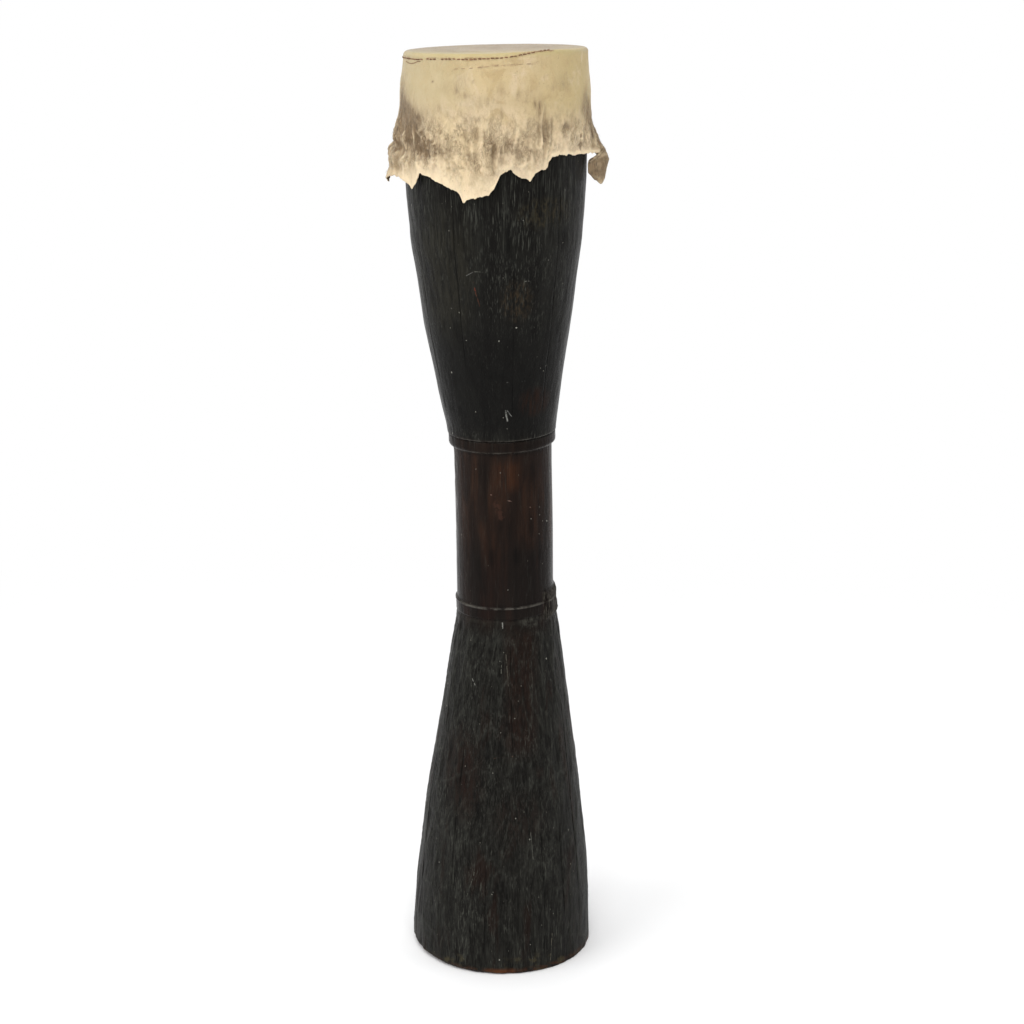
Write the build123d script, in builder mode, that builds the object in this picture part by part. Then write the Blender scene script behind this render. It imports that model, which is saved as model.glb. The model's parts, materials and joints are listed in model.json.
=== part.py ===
from build123d import *
import math
import os

# Tall single-headed hourglass hand drum, carved from one log, with a rawhide head.
# Origin: centre of the foot ring on the ground. +Z up, -Y is the front, +X the player's right.
# Millimetres. Angles are in degrees, counted from the front (-Y) towards +X.

# ---------------------------------------------------------------- trunk
# (height, shift towards +X) of the trunk's axis: the log was not straight
LEAN = [
    (0.0, 0.0), (30.0, 0.2), (66.0, 1.2), (116.0, 2.3), (190.0, 2.5), (240.0, 4.0),
    (286.0, 4.9), (333.0, 5.6), (366.0, 5.8), (390.0, 5.5), (433.0, 4.5), (490.0, 4.0),
    (535.0, 3.1), (570.0, 2.1), (590.0, 1.6), (606.0, 0.8), (629.0, -0.4), (651.0, -1.2),
    (672.0, -2.1), (716.0, -3.0), (780.0, -3.8), (850.0, -4.5), (936.0, -5.0), (993.0, -4.4),
    (1020.0, -4.2),
]
# (height, tip of the cross-section), each rising towards +X
COLLAR_TILT = 1.8
TIP = [
    (0.0, 0.0), (300.0, 1.2), (384.0, COLLAR_TILT), (600.0, COLLAR_TILT), (850.0, 0.0),
    (1020.0, 0.0),
]

# ---------------------------------------------------------------- collars
LOWER_BAND_Z, LOWER_BAND_H, LOWER_BAND_R = 398.5, 12.9, 54.2
LIP_R, LIP_H = 54.8, 2.0  # sharp lip along the lower collar's upper edge
UPPER_BAND_Z, UPPER_BAND_H, UPPER_BAND_R = 583.5, 13.8, 57.4
UPPER_BAND_TOP_Z = UPPER_BAND_Z + UPPER_BAND_H
UPPER_BAND_ROUND = 3.6  # rounding of the upper collar's lower edge
GROOVE_H, GROOVE_R = 1.3, 56.4  # incised line between upper collar and bowl
GROOVE_CUT_R = UPPER_BAND_R + 8  # outside of the ring that cuts it

# ---------------------------------------------------------------- wood outlines
BELL_TOP_Z = 392.5  # a shallow groove runs from here to the lower collar
WAIST_RUN_IN = 3.0  # the waist's overlap with the bell and with the upper collar
BOWL_RUN_IN = 0.2  # the bowl's overlap with the upper collar
SEAT_Z = 850.0  # start of the part of the bowl that the hide covers

# (height, outer radius) of the carved wood, from the ground up
BELL = [
    (0.0, 100.6), (41.7, 99.1), (91.6, 95.8), (140.9, 90.7), (189.7, 84.8), (238.0, 77.5),
    (285.8, 70.5), (333.0, 63.7), (366.0, 58.7), (384.0, 55.6), (BELL_TOP_Z, 54.2),
]
WAIST = [
    (BELL_TOP_Z - WAIST_RUN_IN, 53.0), (440.0, 52.7), (490.0, 52.7), (535.0, 52.6),
    (UPPER_BAND_Z + WAIST_RUN_IN, 53.2),
]
BOWL = [
    (UPPER_BAND_TOP_Z - BOWL_RUN_IN, 58.2), (606.8, 59.2), (628.9, 63.3), (650.8, 66.8),
    (694.4, 74.4), (737.5, 80.9), (780.3, 86.7), (822.6, 91.2), (SEAT_Z, 93.5),
]
SEAT = [
    (SEAT_Z, 93.5), (900.0, 95.5), (926.0, 96.2), (957.0, 96.1), (968.0, 95.1), (978.0, 93.7),
    (988.0, 92.8), (1015.0, 91.6),
]
# (height, radius) of the through bore
BORE = [
    (-4.0, 87.0), (60.0, 84.5), (150.0, 75.5), (240.0, 62.5), (330.0, 47.0), (400.0, 38.5),
    (490.0, 36.0), (575.0, 38.5), (650.0, 51.0), (740.0, 65.5), (830.0, 75.5), (910.0, 80.0),
    (1020.0, 82.0),
]
# (radius, height) outline of the stump of a broken carved lug
LUG = [
    (45.0, 392.7), (55.6, 392.7), (56.8, 398.0), (56.6, 404.0), (55.8, 411.0), (55.0, 417.0),
    (54.0, 423.0), (53.4, 428.0), (45.0, 428.0),
]
LUG_FROM, LUG_ARC = 55.0, 54.0  # first angle and sweep
LUG_CENTRE_Z = 405.0  # the lug is turned about the trunk's axis at this height
# wear of the foot: a 45 degree cone, off centre towards +X so that it cuts most on the left
WEAR_X = 3.6
WEAR_R, WEAR_OUTER_R = 97.4, 110.0
WEAR_LOW_Z = -0.5

# ---------------------------------------------------------------- head and hide
HEAD_CENTRE_Z = 999.3  # height of the struck face over the origin
HEAD_SLOPE_X = 0.020  # the rim was cut slightly out of square: rise per mm towards +X ...
HEAD_SLOPE_Y = -0.033  # ... and towards +Y
HIDE_T = 1.6
HIDE_GAP_SIDE = 0.8  # hide to wood on the side, where the glue sits
HIDE_GAP_TOP = 0.1  # hide to wood on the rim
HEAD_ROUND = 4.8  # rounding of the hide over the rim
RIM_ROUND = 3.0  # rounding of the wooden rim's outer corner
HIDE_INNER_ROUND = RIM_ROUND + 0.3
RIM_DROP = HIDE_T + HIDE_GAP_TOP  # wooden rim below the struck face
DISC_R = 86.0  # free, struck part of the hide
DISC_GAP = 0.05  # slit between struck part and lapped part
DISC_CUT_H = HIDE_T + 2
BEARING_R = 88.4  # crest of the bearing edge; the rim slopes down inwards from here
BEARING_DROP = 12.0
BEARING_INNER_R = 82.0
GLUE_T = 0.6
GLUE_GAP = (HIDE_GAP_SIDE - GLUE_T) / 2  # clearance on each side of the glue
GLUE_LOW, GLUE_HIGH = 926.0, 984.0

LAP_LOW_Z = 905.0  # lower end of the tight part
SKIRT_TOP_Z, SKIRT_KNEE_Z, SKIRT_LOW_Z = 912.0, 888.0, 850.0
SKIRT_INSIDE_LOW_Z = SKIRT_LOW_Z - 5  # the inside is cut right through the lower end
SKIRT_POINTS = 24  # points round the skirt's outline
SKIRT_TUCK = 0.5  # the flare starts this far inside the tight part, to leave it in a clean line
# (angle, how far the free skirt stands off the wood at its lower edge)
SKIRT_FLARE = [
    (-180, 6.0), (-150, 5.0), (-120, 9.0), (-100, 15.0), (-86, 16.5), (-70, 7.0), (-55, 3.5),
    (-30, 2.5), (0, 2.5), (30, 2.5), (55, 2.5), (70, 4.0), (82, 13.0), (94, 20.0), (108, 14.0),
    (140, 5.0), (180, 6.0),
]
# (height, share of the flare)
SKIRT_SHARE = [(SKIRT_LOW_Z, 1.0), (SKIRT_KNEE_Z, 0.9), (SKIRT_TOP_Z, 0.0)]

# ragged lower edge of the uncut hide, (x, height)
EDGE_X = 125.0  # both outlines run from -EDGE_X to EDGE_X
HIDE_EDGE_FRONT = [
    (-EDGE_X, 866.0), (-112.0, 871.0), (-99.0, 873.0), (-89.7, 863.0), (-81.9, 882.0),
    (-70.0, 878.0), (-59.1, 872.4), (-43.9, 864.5), (-38.9, 854.8), (-33.8, 858.0),
    (-13.7, 862.6), (-4.7, 876.7), (1.0, 884.5), (9.3, 889.5), (18.3, 881.3), (30.3, 877.7),
    (36.3, 885.4), (47.4, 888.6), (43.6, 895.9), (51.4, 899.7), (70.0, 898.5), (88.0, 896.0),
    (93.0, 880.0), (104.0, 864.0), (112.0, 866.0), (EDGE_X, 880.0),
]
HIDE_EDGE_BACK = [
    (-EDGE_X, 866.0), (-104.0, 870.0), (-92.0, 884.0), (-74.0, 868.0), (-58.0, 874.0),
    (-44.0, 888.0), (-28.0, 878.0), (-12.0, 862.0), (2.0, 866.0), (16.0, 884.0), (34.0, 880.0),
    (48.0, 868.0), (62.0, 872.0), (78.0, 887.0), (92.0, 876.0), (104.0, 864.0), (112.0, 866.0),
    (EDGE_X, 880.0),
]
EDGE_CUT_LOW_Z = 840.0
EDGE_CUT_DEPTH = 160.0

# ---------------------------------------------------------------- pegs
PEG_Z = 916.0
PEG_R = 2.2
PEG_CLEAR = 0.06
PEG_IN, PEG_OUT = 11.5, 1.2  # depth into the wood, and stand-out beyond the hide
PEG_SIDES = 8
PEG_CHAMFER = 0.5
PEG_END_AREA = 2.828 * PEG_R**2  # area of the octagonal end
PEG_ANGLES = (-92, -46, -3, 30, 62, 98, 141, 184, 226)
WOOD_HOLE_IN = PEG_IN + 0.3  # depth of the hole in the wood
WOOD_HOLE_L = PEG_IN + 10  # length of its cutter, out past the wood
HIDE_HOLE_IN, HIDE_HOLE_L = 3, 12  # start inside the wood's surface, and length of the cutter

# ---------------------------------------------------------------- stitches
THREAD_R = 0.4
THREAD_OFF = THREAD_R + 0.07  # thread's centre off the hide
STITCH_L = 4.2
# the upper row: (angle, height) on the side wall, then (angle, radius) over the crest of the rim
STITCH_SIDE = [
    (-118, 988.5), (-92, 990.6), (-75, 992.0), (-56, 993.1), (-44, 993.6), (-30, 994.2),
    (-8, 994.6), (10, 995.0),
]
STITCH_TOP = [(15, 89.4), (20, 89.2), (25, 89.0), (30, 88.8), (35, 88.6), (40, 88.4)]
# the lower row: (angle, height) on the side wall
LOWER_STITCH = [(-30, 985.8), (-15, 986.6), (0, 987.4), (15, 988.2), (25, 988.8)]
SIDE_STEP, TOP_STEP, LOWER_STEP = 4.2, 4.4, 5.6  # degrees from stitch to stitch
TANGENT_STEP = 0.4  # degrees to either side, for the thread's direction


# ---------------------------------------------------------------- helpers
def lerp(table, position):
    """Value of a (position, value) table, straight lines between its entries."""
    if position <= table[0][0]:
        return table[0][1]
    for (start, start_value), (end, end_value) in zip(table, table[1:]):
        if position <= end:
            return start_value + (end_value - start_value) * (position - start) / (end - start)
    return table[-1][1]


def section_plane(z):
    """The tipped plane of the trunk's cross-section at height z."""
    tip = math.radians(lerp(TIP, z))
    return Plane(
        origin=(lerp(LEAN, z), 0, z),
        x_dir=(math.cos(tip), 0, math.sin(tip)),
        z_dir=(-math.sin(tip), 0, math.cos(tip)),
    )


def head_z(x, y, drop=0.0):
    """Height of the struck face over the point x, y, lowered by drop along Z."""
    return HEAD_CENTRE_Z - drop + HEAD_SLOPE_X * x + HEAD_SLOPE_Y * y


def head_plane(drop=0.0):
    """The sloping plane of the struck face, lowered by drop, with its origin on the trunk's axis."""
    x = lerp(LEAN, HEAD_CENTRE_Z)
    normal = Vector(-HEAD_SLOPE_X, -HEAD_SLOPE_Y, 1).normalized()
    return Plane(origin=(x, 0, head_z(x, 0, drop)), x_dir=(1, 0, HEAD_SLOPE_X), z_dir=normal)


def around(angle, radius, z):
    """Point on a level ring about the trunk's axis."""
    turn = math.radians(angle)
    return Vector(lerp(LEAN, z) + radius * math.sin(turn), -radius * math.cos(turn), z)


def seat_levels(low, high):
    """The (height, radius) stations of the seat from low to high."""
    between = [station for station in SEAT if low < station[0] < high]
    return [(low, lerp(SEAT, low))] + between + [(high, lerp(SEAT, high))]


def peg_plane(angle, depth):
    """Plane across a peg, facing outwards, at a depth below the wood's surface."""
    outwards = around(angle, 1, PEG_Z) - around(angle, 0, PEG_Z)
    origin = around(angle, lerp(SEAT, PEG_Z) - depth, PEG_Z)
    return Plane(origin=origin, x_dir=(0, 0, 1), z_dir=outwards)


# ---------------------------------------------------------------- the carved body
with BuildPart() as drum_body:
    # bell, from the foot to just below the lower collar
    for z, radius in BELL:
        with BuildSketch(section_plane(z)):
            Circle(radius)
    loft()
    # lower collar: a low band with a sharp lip along its upper edge
    with BuildSketch(section_plane(LOWER_BAND_Z)):
        Circle(LOWER_BAND_R)
    extrude(amount=LOWER_BAND_H)
    with BuildSketch(section_plane(LOWER_BAND_Z + LOWER_BAND_H - LIP_H)):
        Circle(LIP_R)
    extrude(amount=LIP_H)
    # waist
    for z, radius in WAIST:
        with BuildSketch(section_plane(z)):
            Circle(radius)
    loft()
    # upper collar, standing proud of the waist and rounded under
    with BuildSketch(section_plane(UPPER_BAND_Z)):
        Circle(UPPER_BAND_R)
    extrude(amount=UPPER_BAND_H)
    fillet(
        drum_body.edges()
        .filter_by(GeomType.CIRCLE)
        .filter_by(lambda edge: abs(edge.radius - UPPER_BAND_R) < 1e-3)
        .sort_by(Axis.Z)[0],
        radius=UPPER_BAND_ROUND,
    )
    # bowl
    for z, radius in BOWL:
        with BuildSketch(section_plane(z)):
            Circle(radius)
    loft()
    # incised line between the upper collar and the bowl
    with BuildSketch(section_plane(UPPER_BAND_TOP_Z - GROOVE_H)):
        Circle(GROOVE_CUT_R)
        Circle(GROOVE_R, mode=Mode.SUBTRACT)
    extrude(amount=GROOVE_H, mode=Mode.SUBTRACT)
    # the upper part that the hide is lapped over
    for z, radius in SEAT:
        with BuildSketch(section_plane(z)):
            Circle(radius)
    loft(ruled=True)
    # the rim, cut a little out of square, then rounded
    split(bisect_by=head_plane(RIM_DROP), keep=Keep.BOTTOM)
    fillet(drum_body.faces().sort_by(Axis.Z)[-1].outer_wire().edges(), radius=RIM_ROUND)
    # stump of a broken lug at the lower collar, on the right side
    lug_foot = (lerp(LEAN, LUG_CENTRE_Z), 0, 0)
    lug_turn = math.radians(LUG_FROM - 90)
    lug_plane = Plane(
        origin=lug_foot,
        x_dir=(math.cos(lug_turn), math.sin(lug_turn), 0),
        z_dir=(math.sin(lug_turn), -math.cos(lug_turn), 0),
    )
    with BuildSketch(lug_plane):
        with BuildLine():
            Polyline(*LUG, close=True)
        make_face()
    revolve(axis=Axis(lug_foot, (0, 0, 1)), revolution_arc=LUG_ARC)
    # through bore, wide at both mouths and narrow in the waist
    for z, radius in BORE:
        with BuildSketch(section_plane(z)):
            Circle(radius)
    loft(mode=Mode.SUBTRACT)
    # bearing edge: the rim falls away inwards from its crest
    with BuildSketch(head_plane(RIM_DROP + BEARING_DROP)):
        Circle(BEARING_INNER_R)
    with BuildSketch(head_plane(RIM_DROP)):
        Circle(BEARING_R)
    loft(ruled=True, mode=Mode.SUBTRACT)
    # wear along the foot's outer edge
    wear_outer_x = WEAR_X + WEAR_OUTER_R
    with BuildSketch(Plane.XZ):
        with BuildLine():
            Polyline(
                (WEAR_X + WEAR_R, WEAR_LOW_Z),
                (wear_outer_x, WEAR_LOW_Z + WEAR_OUTER_R - WEAR_R),
                (wear_outer_x, WEAR_LOW_Z),
                close=True,
            )
        make_face()
    revolve(axis=Axis((WEAR_X, 0, 0), (0, 0, 1)), mode=Mode.SUBTRACT)
    # holes for the hide pegs
    for angle in PEG_ANGLES:
        with BuildSketch(peg_plane(angle, WOOD_HOLE_IN)):
            Circle(PEG_R + PEG_CLEAR)
        extrude(amount=WOOD_HOLE_L, mode=Mode.SUBTRACT)


# ---------------------------------------------------------------- the rawhide
def skirt_points(z, offset):
    """Outline of the free skirt at height z, offset from the wood beside its flare."""
    share = lerp(SKIRT_SHARE, z)
    if z >= SKIRT_TOP_Z:
        offset -= SKIRT_TUCK
    points = []
    for i in range(SKIRT_POINTS):
        angle = -180 + i * 360 / SKIRT_POINTS
        radius = lerp(SEAT, z) + offset + lerp(SKIRT_FLARE, angle) * share
        points.append(around(angle, radius, z))
    return points


def hide_form(offset, top_drop, rounding, low_z):
    """Solid form over the rim with the flared skirt, offset from the wood, down to low_z."""
    with BuildPart() as form:
        for z, radius in seat_levels(LAP_LOW_Z, SEAT[-1][0]):
            with BuildSketch(section_plane(z)):
                Circle(radius + offset)
        loft(ruled=True)
        split(bisect_by=head_plane(top_drop), keep=Keep.BOTTOM)
        fillet(form.faces().sort_by(Axis.Z)[-1].outer_wire().edges(), radius=rounding)
        for z in (low_z, SKIRT_KNEE_Z, SKIRT_TOP_Z):
            with BuildSketch(Plane.XY.offset(z)):
                with BuildLine():
                    Spline(*skirt_points(z, offset), periodic=True)
                make_face()
        loft(ruled=True)
    return form.part


hide_inside = hide_form(HIDE_GAP_SIDE, HIDE_T, HIDE_INNER_ROUND, SKIRT_INSIDE_LOW_Z)
hide_outside = hide_form(HIDE_GAP_SIDE + HIDE_T, 0.0, HEAD_ROUND, SKIRT_LOW_Z)

# the part of the hide lapped over the rim, with its flared, ragged skirt
with BuildPart() as hide_skirt:
    add(hide_outside)
    add(hide_inside, mode=Mode.SUBTRACT)
    # ragged lower edge, front half and back half
    for outline, depth in ((HIDE_EDGE_FRONT, EDGE_CUT_DEPTH), (HIDE_EDGE_BACK, -EDGE_CUT_DEPTH)):
        with BuildSketch(Plane.XZ):
            with BuildLine():
                Polyline(
                    *outline, (EDGE_X, EDGE_CUT_LOW_Z), (-EDGE_X, EDGE_CUT_LOW_Z), close=True
                )
            make_face()
        extrude(amount=depth, mode=Mode.SUBTRACT)
    # opening for the struck part
    with BuildSketch(head_plane()):
        Circle(DISC_R + DISC_GAP)
    extrude(amount=-DISC_CUT_H, mode=Mode.SUBTRACT)
    # holes for the pegs
    for angle in PEG_ANGLES:
        with BuildSketch(peg_plane(angle, HIDE_HOLE_IN)):
            Circle(PEG_R + PEG_CLEAR)
        extrude(amount=HIDE_HOLE_L, mode=Mode.SUBTRACT)

# the free, struck part of the hide; its underside is HIDE_T lower along Z, like the hide's inside
with BuildPart() as drumhead:
    with BuildSketch(head_plane()):
        Circle(DISC_R)
    extrude(amount=-HIDE_T * head_plane().z_dir.Z)

# ---------------------------------------------------------------- glue between hide and wood
with BuildPart() as glue_bed:
    for offset, mode in ((GLUE_GAP + GLUE_T, Mode.ADD), (GLUE_GAP, Mode.SUBTRACT)):
        for z, radius in seat_levels(GLUE_LOW, GLUE_HIGH):
            with BuildSketch(section_plane(z)):
                Circle(radius + offset)
        loft(ruled=True, mode=mode)

# ---------------------------------------------------------------- whittled pegs through the hide
with BuildPart() as hide_pegs:
    for angle in PEG_ANGLES:
        with BuildSketch(peg_plane(angle, PEG_IN)):
            RegularPolygon(PEG_R, PEG_SIDES)
        extrude(amount=PEG_IN + HIDE_GAP_SIDE + HIDE_T + PEG_OUT)
    peg_ends = hide_pegs.faces().filter_by(lambda face: abs(face.area - PEG_END_AREA) < 0.2)
    chamfer(peg_ends.edges(), length=PEG_CHAMFER)


# ---------------------------------------------------------------- stitches
def side_point(angle, z):
    """Thread's centre just outside the hide's side wall."""
    return around(angle, lerp(SEAT, z) + HIDE_GAP_SIDE + HIDE_T + THREAD_OFF, z)


def top_point(angle, radius):
    """Thread's centre just above the lapped part of the head."""
    level = around(angle, radius, HEAD_CENTRE_Z)
    return Vector(level.X, level.Y, head_z(level.X, level.Y) + THREAD_OFF)


def stitch_planes(table, point, step):
    """Planes across the thread at regular steps along a row given as (angle, value) pairs."""
    planes = []
    angle = table[0][0] + step / 2
    while angle < table[-1][0]:
        before, middle, after = (
            point(near, lerp(table, near))
            for near in (angle - TANGENT_STEP, angle, angle + TANGENT_STEP)
        )
        planes.append(Plane(origin=middle, x_dir=(0, 0, 1), z_dir=after - before))
        angle += step
    return planes


def stitch_row(planes):
    """One short straight length of thread centred on each plane."""
    with BuildPart() as row:
        for plane in planes:
            with BuildSketch(plane):
                Circle(THREAD_R)
            extrude(amount=STITCH_L / 2, both=True)
    return row.part


rim_stitches = stitch_row(
    stitch_planes(STITCH_SIDE, side_point, SIDE_STEP)
    + stitch_planes(STITCH_TOP, top_point, TOP_STEP)
)
lower_stitches = stitch_row(stitch_planes(LOWER_STITCH, side_point, LOWER_STEP))

# ---------------------------------------------------------------- files
PIECES = {
    "drum_body": drum_body.part,
    "hide_skirt": hide_skirt.part,
    "drumhead": drumhead.part,
    "glue_bed": glue_bed.part,
    "hide_pegs": hide_pegs.part,
    "rim_stitches": rim_stitches,
    "lower_stitches": lower_stitches,
}
os.makedirs("parts", exist_ok=True)
for name, piece in PIECES.items():
    piece.label = name
    export_step(piece, f"parts/{name}.step")
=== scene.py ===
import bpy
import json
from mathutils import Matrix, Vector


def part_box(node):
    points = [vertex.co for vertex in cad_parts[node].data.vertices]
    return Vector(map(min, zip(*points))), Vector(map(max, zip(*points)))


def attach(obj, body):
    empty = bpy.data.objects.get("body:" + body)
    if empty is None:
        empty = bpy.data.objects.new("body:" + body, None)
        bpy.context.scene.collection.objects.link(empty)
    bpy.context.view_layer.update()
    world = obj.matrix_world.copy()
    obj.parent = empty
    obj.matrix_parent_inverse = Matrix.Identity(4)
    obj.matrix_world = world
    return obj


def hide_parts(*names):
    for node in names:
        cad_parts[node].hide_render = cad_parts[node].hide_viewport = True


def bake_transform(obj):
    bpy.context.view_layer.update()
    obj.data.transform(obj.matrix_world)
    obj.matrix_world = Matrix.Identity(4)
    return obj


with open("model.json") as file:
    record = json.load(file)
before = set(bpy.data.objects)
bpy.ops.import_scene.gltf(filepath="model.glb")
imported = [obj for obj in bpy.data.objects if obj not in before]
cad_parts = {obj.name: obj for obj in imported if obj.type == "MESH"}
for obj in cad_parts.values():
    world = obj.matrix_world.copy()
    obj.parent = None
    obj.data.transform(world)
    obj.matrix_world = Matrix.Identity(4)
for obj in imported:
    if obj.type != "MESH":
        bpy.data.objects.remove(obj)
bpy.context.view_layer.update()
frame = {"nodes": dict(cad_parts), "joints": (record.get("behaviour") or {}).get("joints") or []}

import json
import math

import bpy
import numpy as np
from mathutils import Vector
from mathutils.bvhtree import BVHTree

NODES = frame["nodes"]
rng = np.random.default_rng(11)

# ------------------------------------------------------------------ trunk axis and head plane
# height in mm, sideways lean of the trunk's axis in mm
LEAN = np.array([
    (0, 0), (30, 0.2), (66, 1.2), (116, 2.3), (190, 2.5), (240, 4.0), (286, 4.9), (333, 5.6),
    (366, 5.8), (390, 5.5), (433, 4.5), (490, 4.0), (535, 3.1), (570, 2.1), (590, 1.6),
    (606, 0.8), (629, -0.4), (651, -1.2), (672, -2.1), (716, -3.0), (780, -3.8), (850, -4.5),
    (936, -5.0), (993, -4.4), (1020, -4.2)]) / 1000
# height, tilt of the section there in degrees
TILT = [(0.0, 0.0), (0.300, 1.2), (0.384, 1.8), (0.600, 1.8), (0.850, 0.0), (1.020, 0.0)]
HIDE_THICKNESS = 0.0016
HEAD_AXIS_Z = 0.9993  # height at which the head meets the trunk's axis
DOWN = np.array(frame["joints"][0]["axis"], float)
UP = -DOWN / np.linalg.norm(DOWN)
# the middle of the struck face is half a hide's thickness above the middle of the disc
HEAD_CENTRE = sum(np.array(corner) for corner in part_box("drumhead")) / 2 + UP * (HIDE_THICKNESS / 2)


def table(pairs, x):
    """Straight-line reading of a table of (x, value) pairs."""
    points = np.array(pairs, float)
    return np.interp(x, points[:, 0], points[:, 1])


def lean(z):
    return table(LEAN, z)


def head_z(x, y):
    """Height of the head plane over x, y."""
    slope = UP[0] * (x - HEAD_CENTRE[0]) + UP[1] * (y - HEAD_CENTRE[1])
    return HEAD_CENTRE[2] - slope / UP[2]


def ring_point(angle, radius, z):
    """Points at an angle, radius and height round the leaning axis."""
    turn = np.radians(angle)
    return np.stack([lean(z) + radius * np.sin(turn), -radius * np.cos(turn), z], -1)


# ------------------------------------------------------------------ shaping curves and noise
def smooth(start, end, x):
    t = np.clip((x - start) / (end - start), 0, 1)
    return t * t * (3 - 2 * t)


def wrap(degrees):
    """Angle difference, -180 to 180."""
    return (degrees + 180) % 360 - 180


def gauss(x, width):
    return np.exp(-((x / width) ** 2))


def triple(scale):
    return scale if isinstance(scale, tuple) else (scale,) * 3


def lattice_hash(ix, iy, iz, seed):
    """Repeatable number from 0 to 1 for each lattice point."""
    h = (ix.astype(np.int64) * 374761393 + iy.astype(np.int64) * 668265263
         + iz.astype(np.int64) * 2147483647 + seed * 1274126177) & 0xFFFFFFFF
    h = ((h ^ (h >> 13)) * 1274126177) & 0xFFFFFFFF
    h = ((h ^ (h >> 16)) * 2246822519) & 0xFFFFFFFF
    h = h ^ (h >> 13)
    return (h & 0xFFFFFF) / float(0xFFFFFF)


def noise(place, scale=1, seed=0):
    """Smooth value noise, -1 to 1, at place times scale."""
    scaled = [part * factor for part, factor in zip(place, triple(scale))]
    ix, iy, iz = [np.floor(part) for part in scaled]
    fx, fy, fz = [part - np.floor(part) for part in scaled]
    fx, fy, fz = [f * f * f * (f * (f * 6 - 15) + 10) for f in (fx, fy, fz)]
    out = 0
    for dx in (0, 1):
        for dy in (0, 1):
            for dz in (0, 1):
                weight = (fx if dx else 1 - fx) * (fy if dy else 1 - fy) * (fz if dz else 1 - fz)
                out = out + weight * lattice_hash(ix + dx, iy + dy, iz + dz, seed)
    return out * 2 - 1


def fractal(place, scale, octaves, seed, gain=0.5):
    """Layers of noise, each twice as fine as the last."""
    x, y, z = [part * factor for part, factor in zip(place, triple(scale))]
    total, amplitude, norm = 0, 1.0, 0.0
    for i in range(octaves):
        shifted = (x * 2**i + 13.7 * i, y * 2**i - 7.1 * i, z * 2**i + 3.3 * i)
        total = total + amplitude * noise(shifted, seed=seed + i * 17)
        norm += amplitude
        amplitude *= gain
    return total / norm


def ridges(place, scale, octaves, seed):
    """Layered noise with sharp crests."""
    x, y, z = [part * factor for part, factor in zip(place, triple(scale))]
    total, amplitude, norm = 0, 1.0, 0.0
    for i in range(octaves):
        layer = noise((x, y, z), 2**i, seed=seed + i * 31)
        total = total + amplitude * (1 - 2 * np.abs(layer))
        norm += amplitude
        amplitude *= 0.5
    return total / norm


def cells(u, v, seed, period):
    """Distance to the nearest jittered lattice point, and how much further the next one is."""
    iu, iv = np.floor(u), np.floor(v)
    nearest = np.full(np.shape(u), 9.0)
    second = np.full(np.shape(u), 9.0)
    zero = np.zeros_like(iu)
    for du in (-1, 0, 1):
        for dv in (-1, 0, 1):
            ku = np.mod(iu + du, period)
            pu = iu + du + lattice_hash(ku, iv + dv, zero, seed)
            pv = iv + dv + lattice_hash(ku, iv + dv, zero, seed + 5)
            d = np.hypot(u - pu, v - pv)
            second = np.where(d < nearest, nearest, np.minimum(second, d))
            nearest = np.minimum(nearest, d)
    return nearest, second - nearest


# ------------------------------------------------------------------ mesh helpers
def make_object(name, verts, faces, material, attrs=None, crisp=None):
    """Smooth-shaded mesh; crisp is the angle in degrees above which edges are sharp."""
    mesh = bpy.data.meshes.new(name)
    verts = np.asarray(verts, np.float32).reshape(-1, 3)
    loops = np.concatenate([np.asarray(f, np.int32).ravel() for f in faces])
    sizes = np.concatenate([np.full(len(f), np.asarray(f).shape[1], np.int32) for f in faces])
    starts = np.concatenate([[0], np.cumsum(sizes)[:-1]]).astype(np.int32)
    mesh.vertices.add(len(verts))
    mesh.vertices.foreach_set("co", verts.ravel())
    mesh.loops.add(len(loops))
    mesh.loops.foreach_set("vertex_index", loops)
    mesh.polygons.add(len(sizes))
    mesh.polygons.foreach_set("loop_start", starts)
    mesh.polygons.foreach_set("loop_total", sizes)
    mesh.update(calc_edges=True)
    mesh.validate()
    mesh.polygons.foreach_set("use_smooth", np.ones(len(mesh.polygons), bool))
    if crisp:
        mesh.set_sharp_from_angle(angle=math.radians(crisp))
    for key, values in (attrs or {}).items():
        attribute = mesh.attributes.new(key, "FLOAT", "POINT")
        attribute.data.foreach_set("value", np.asarray(values, np.float32).ravel())
    mesh.materials.append(material)
    obj = bpy.data.objects.new(name, mesh)
    bpy.context.scene.collection.objects.link(obj)
    return obj


def bridge(first, second, cols):
    """Quads between two closed rings, given the index each ring starts at."""
    c = np.arange(cols)
    following = (c + 1) % cols
    return np.stack([first + c, first + following, second + following, second + c], -1)


def ring_faces(rows, cols, first=0):
    """Quads of a tube of rows x cols vertices, closed around its columns."""
    return np.concatenate([bridge(first + r * cols, first + (r + 1) * cols, cols)
                           for r in range(rows - 1)])


def mount(obj, replaced=None):
    """Fixes a piece to the drum, in place of a CAD node if one is named."""
    if replaced:
        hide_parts(replaced)
    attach(obj, "drum")


# ------------------------------------------------------------------ material helpers
def arithmetic(operation, swapped=False):
    def apply(self, other):
        pair = (other, self) if swapped else (self, other)
        return self.shader.math(operation, *pair)
    return apply


class Value:
    """A shader output that can be used in plain arithmetic; each step makes one node."""

    def __init__(self, shader, socket):
        self.shader = shader
        self.socket = socket

    __add__ = arithmetic("ADD")
    __radd__ = arithmetic("ADD", swapped=True)
    __sub__ = arithmetic("SUBTRACT")
    __rsub__ = arithmetic("SUBTRACT", swapped=True)
    __mul__ = arithmetic("MULTIPLY")
    __truediv__ = arithmetic("DIVIDE")
    __lt__ = arithmetic("LESS_THAN")
    __gt__ = arithmetic("GREATER_THAN")

    def __abs__(self):
        return self.shader.math("ABSOLUTE", self)


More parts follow.
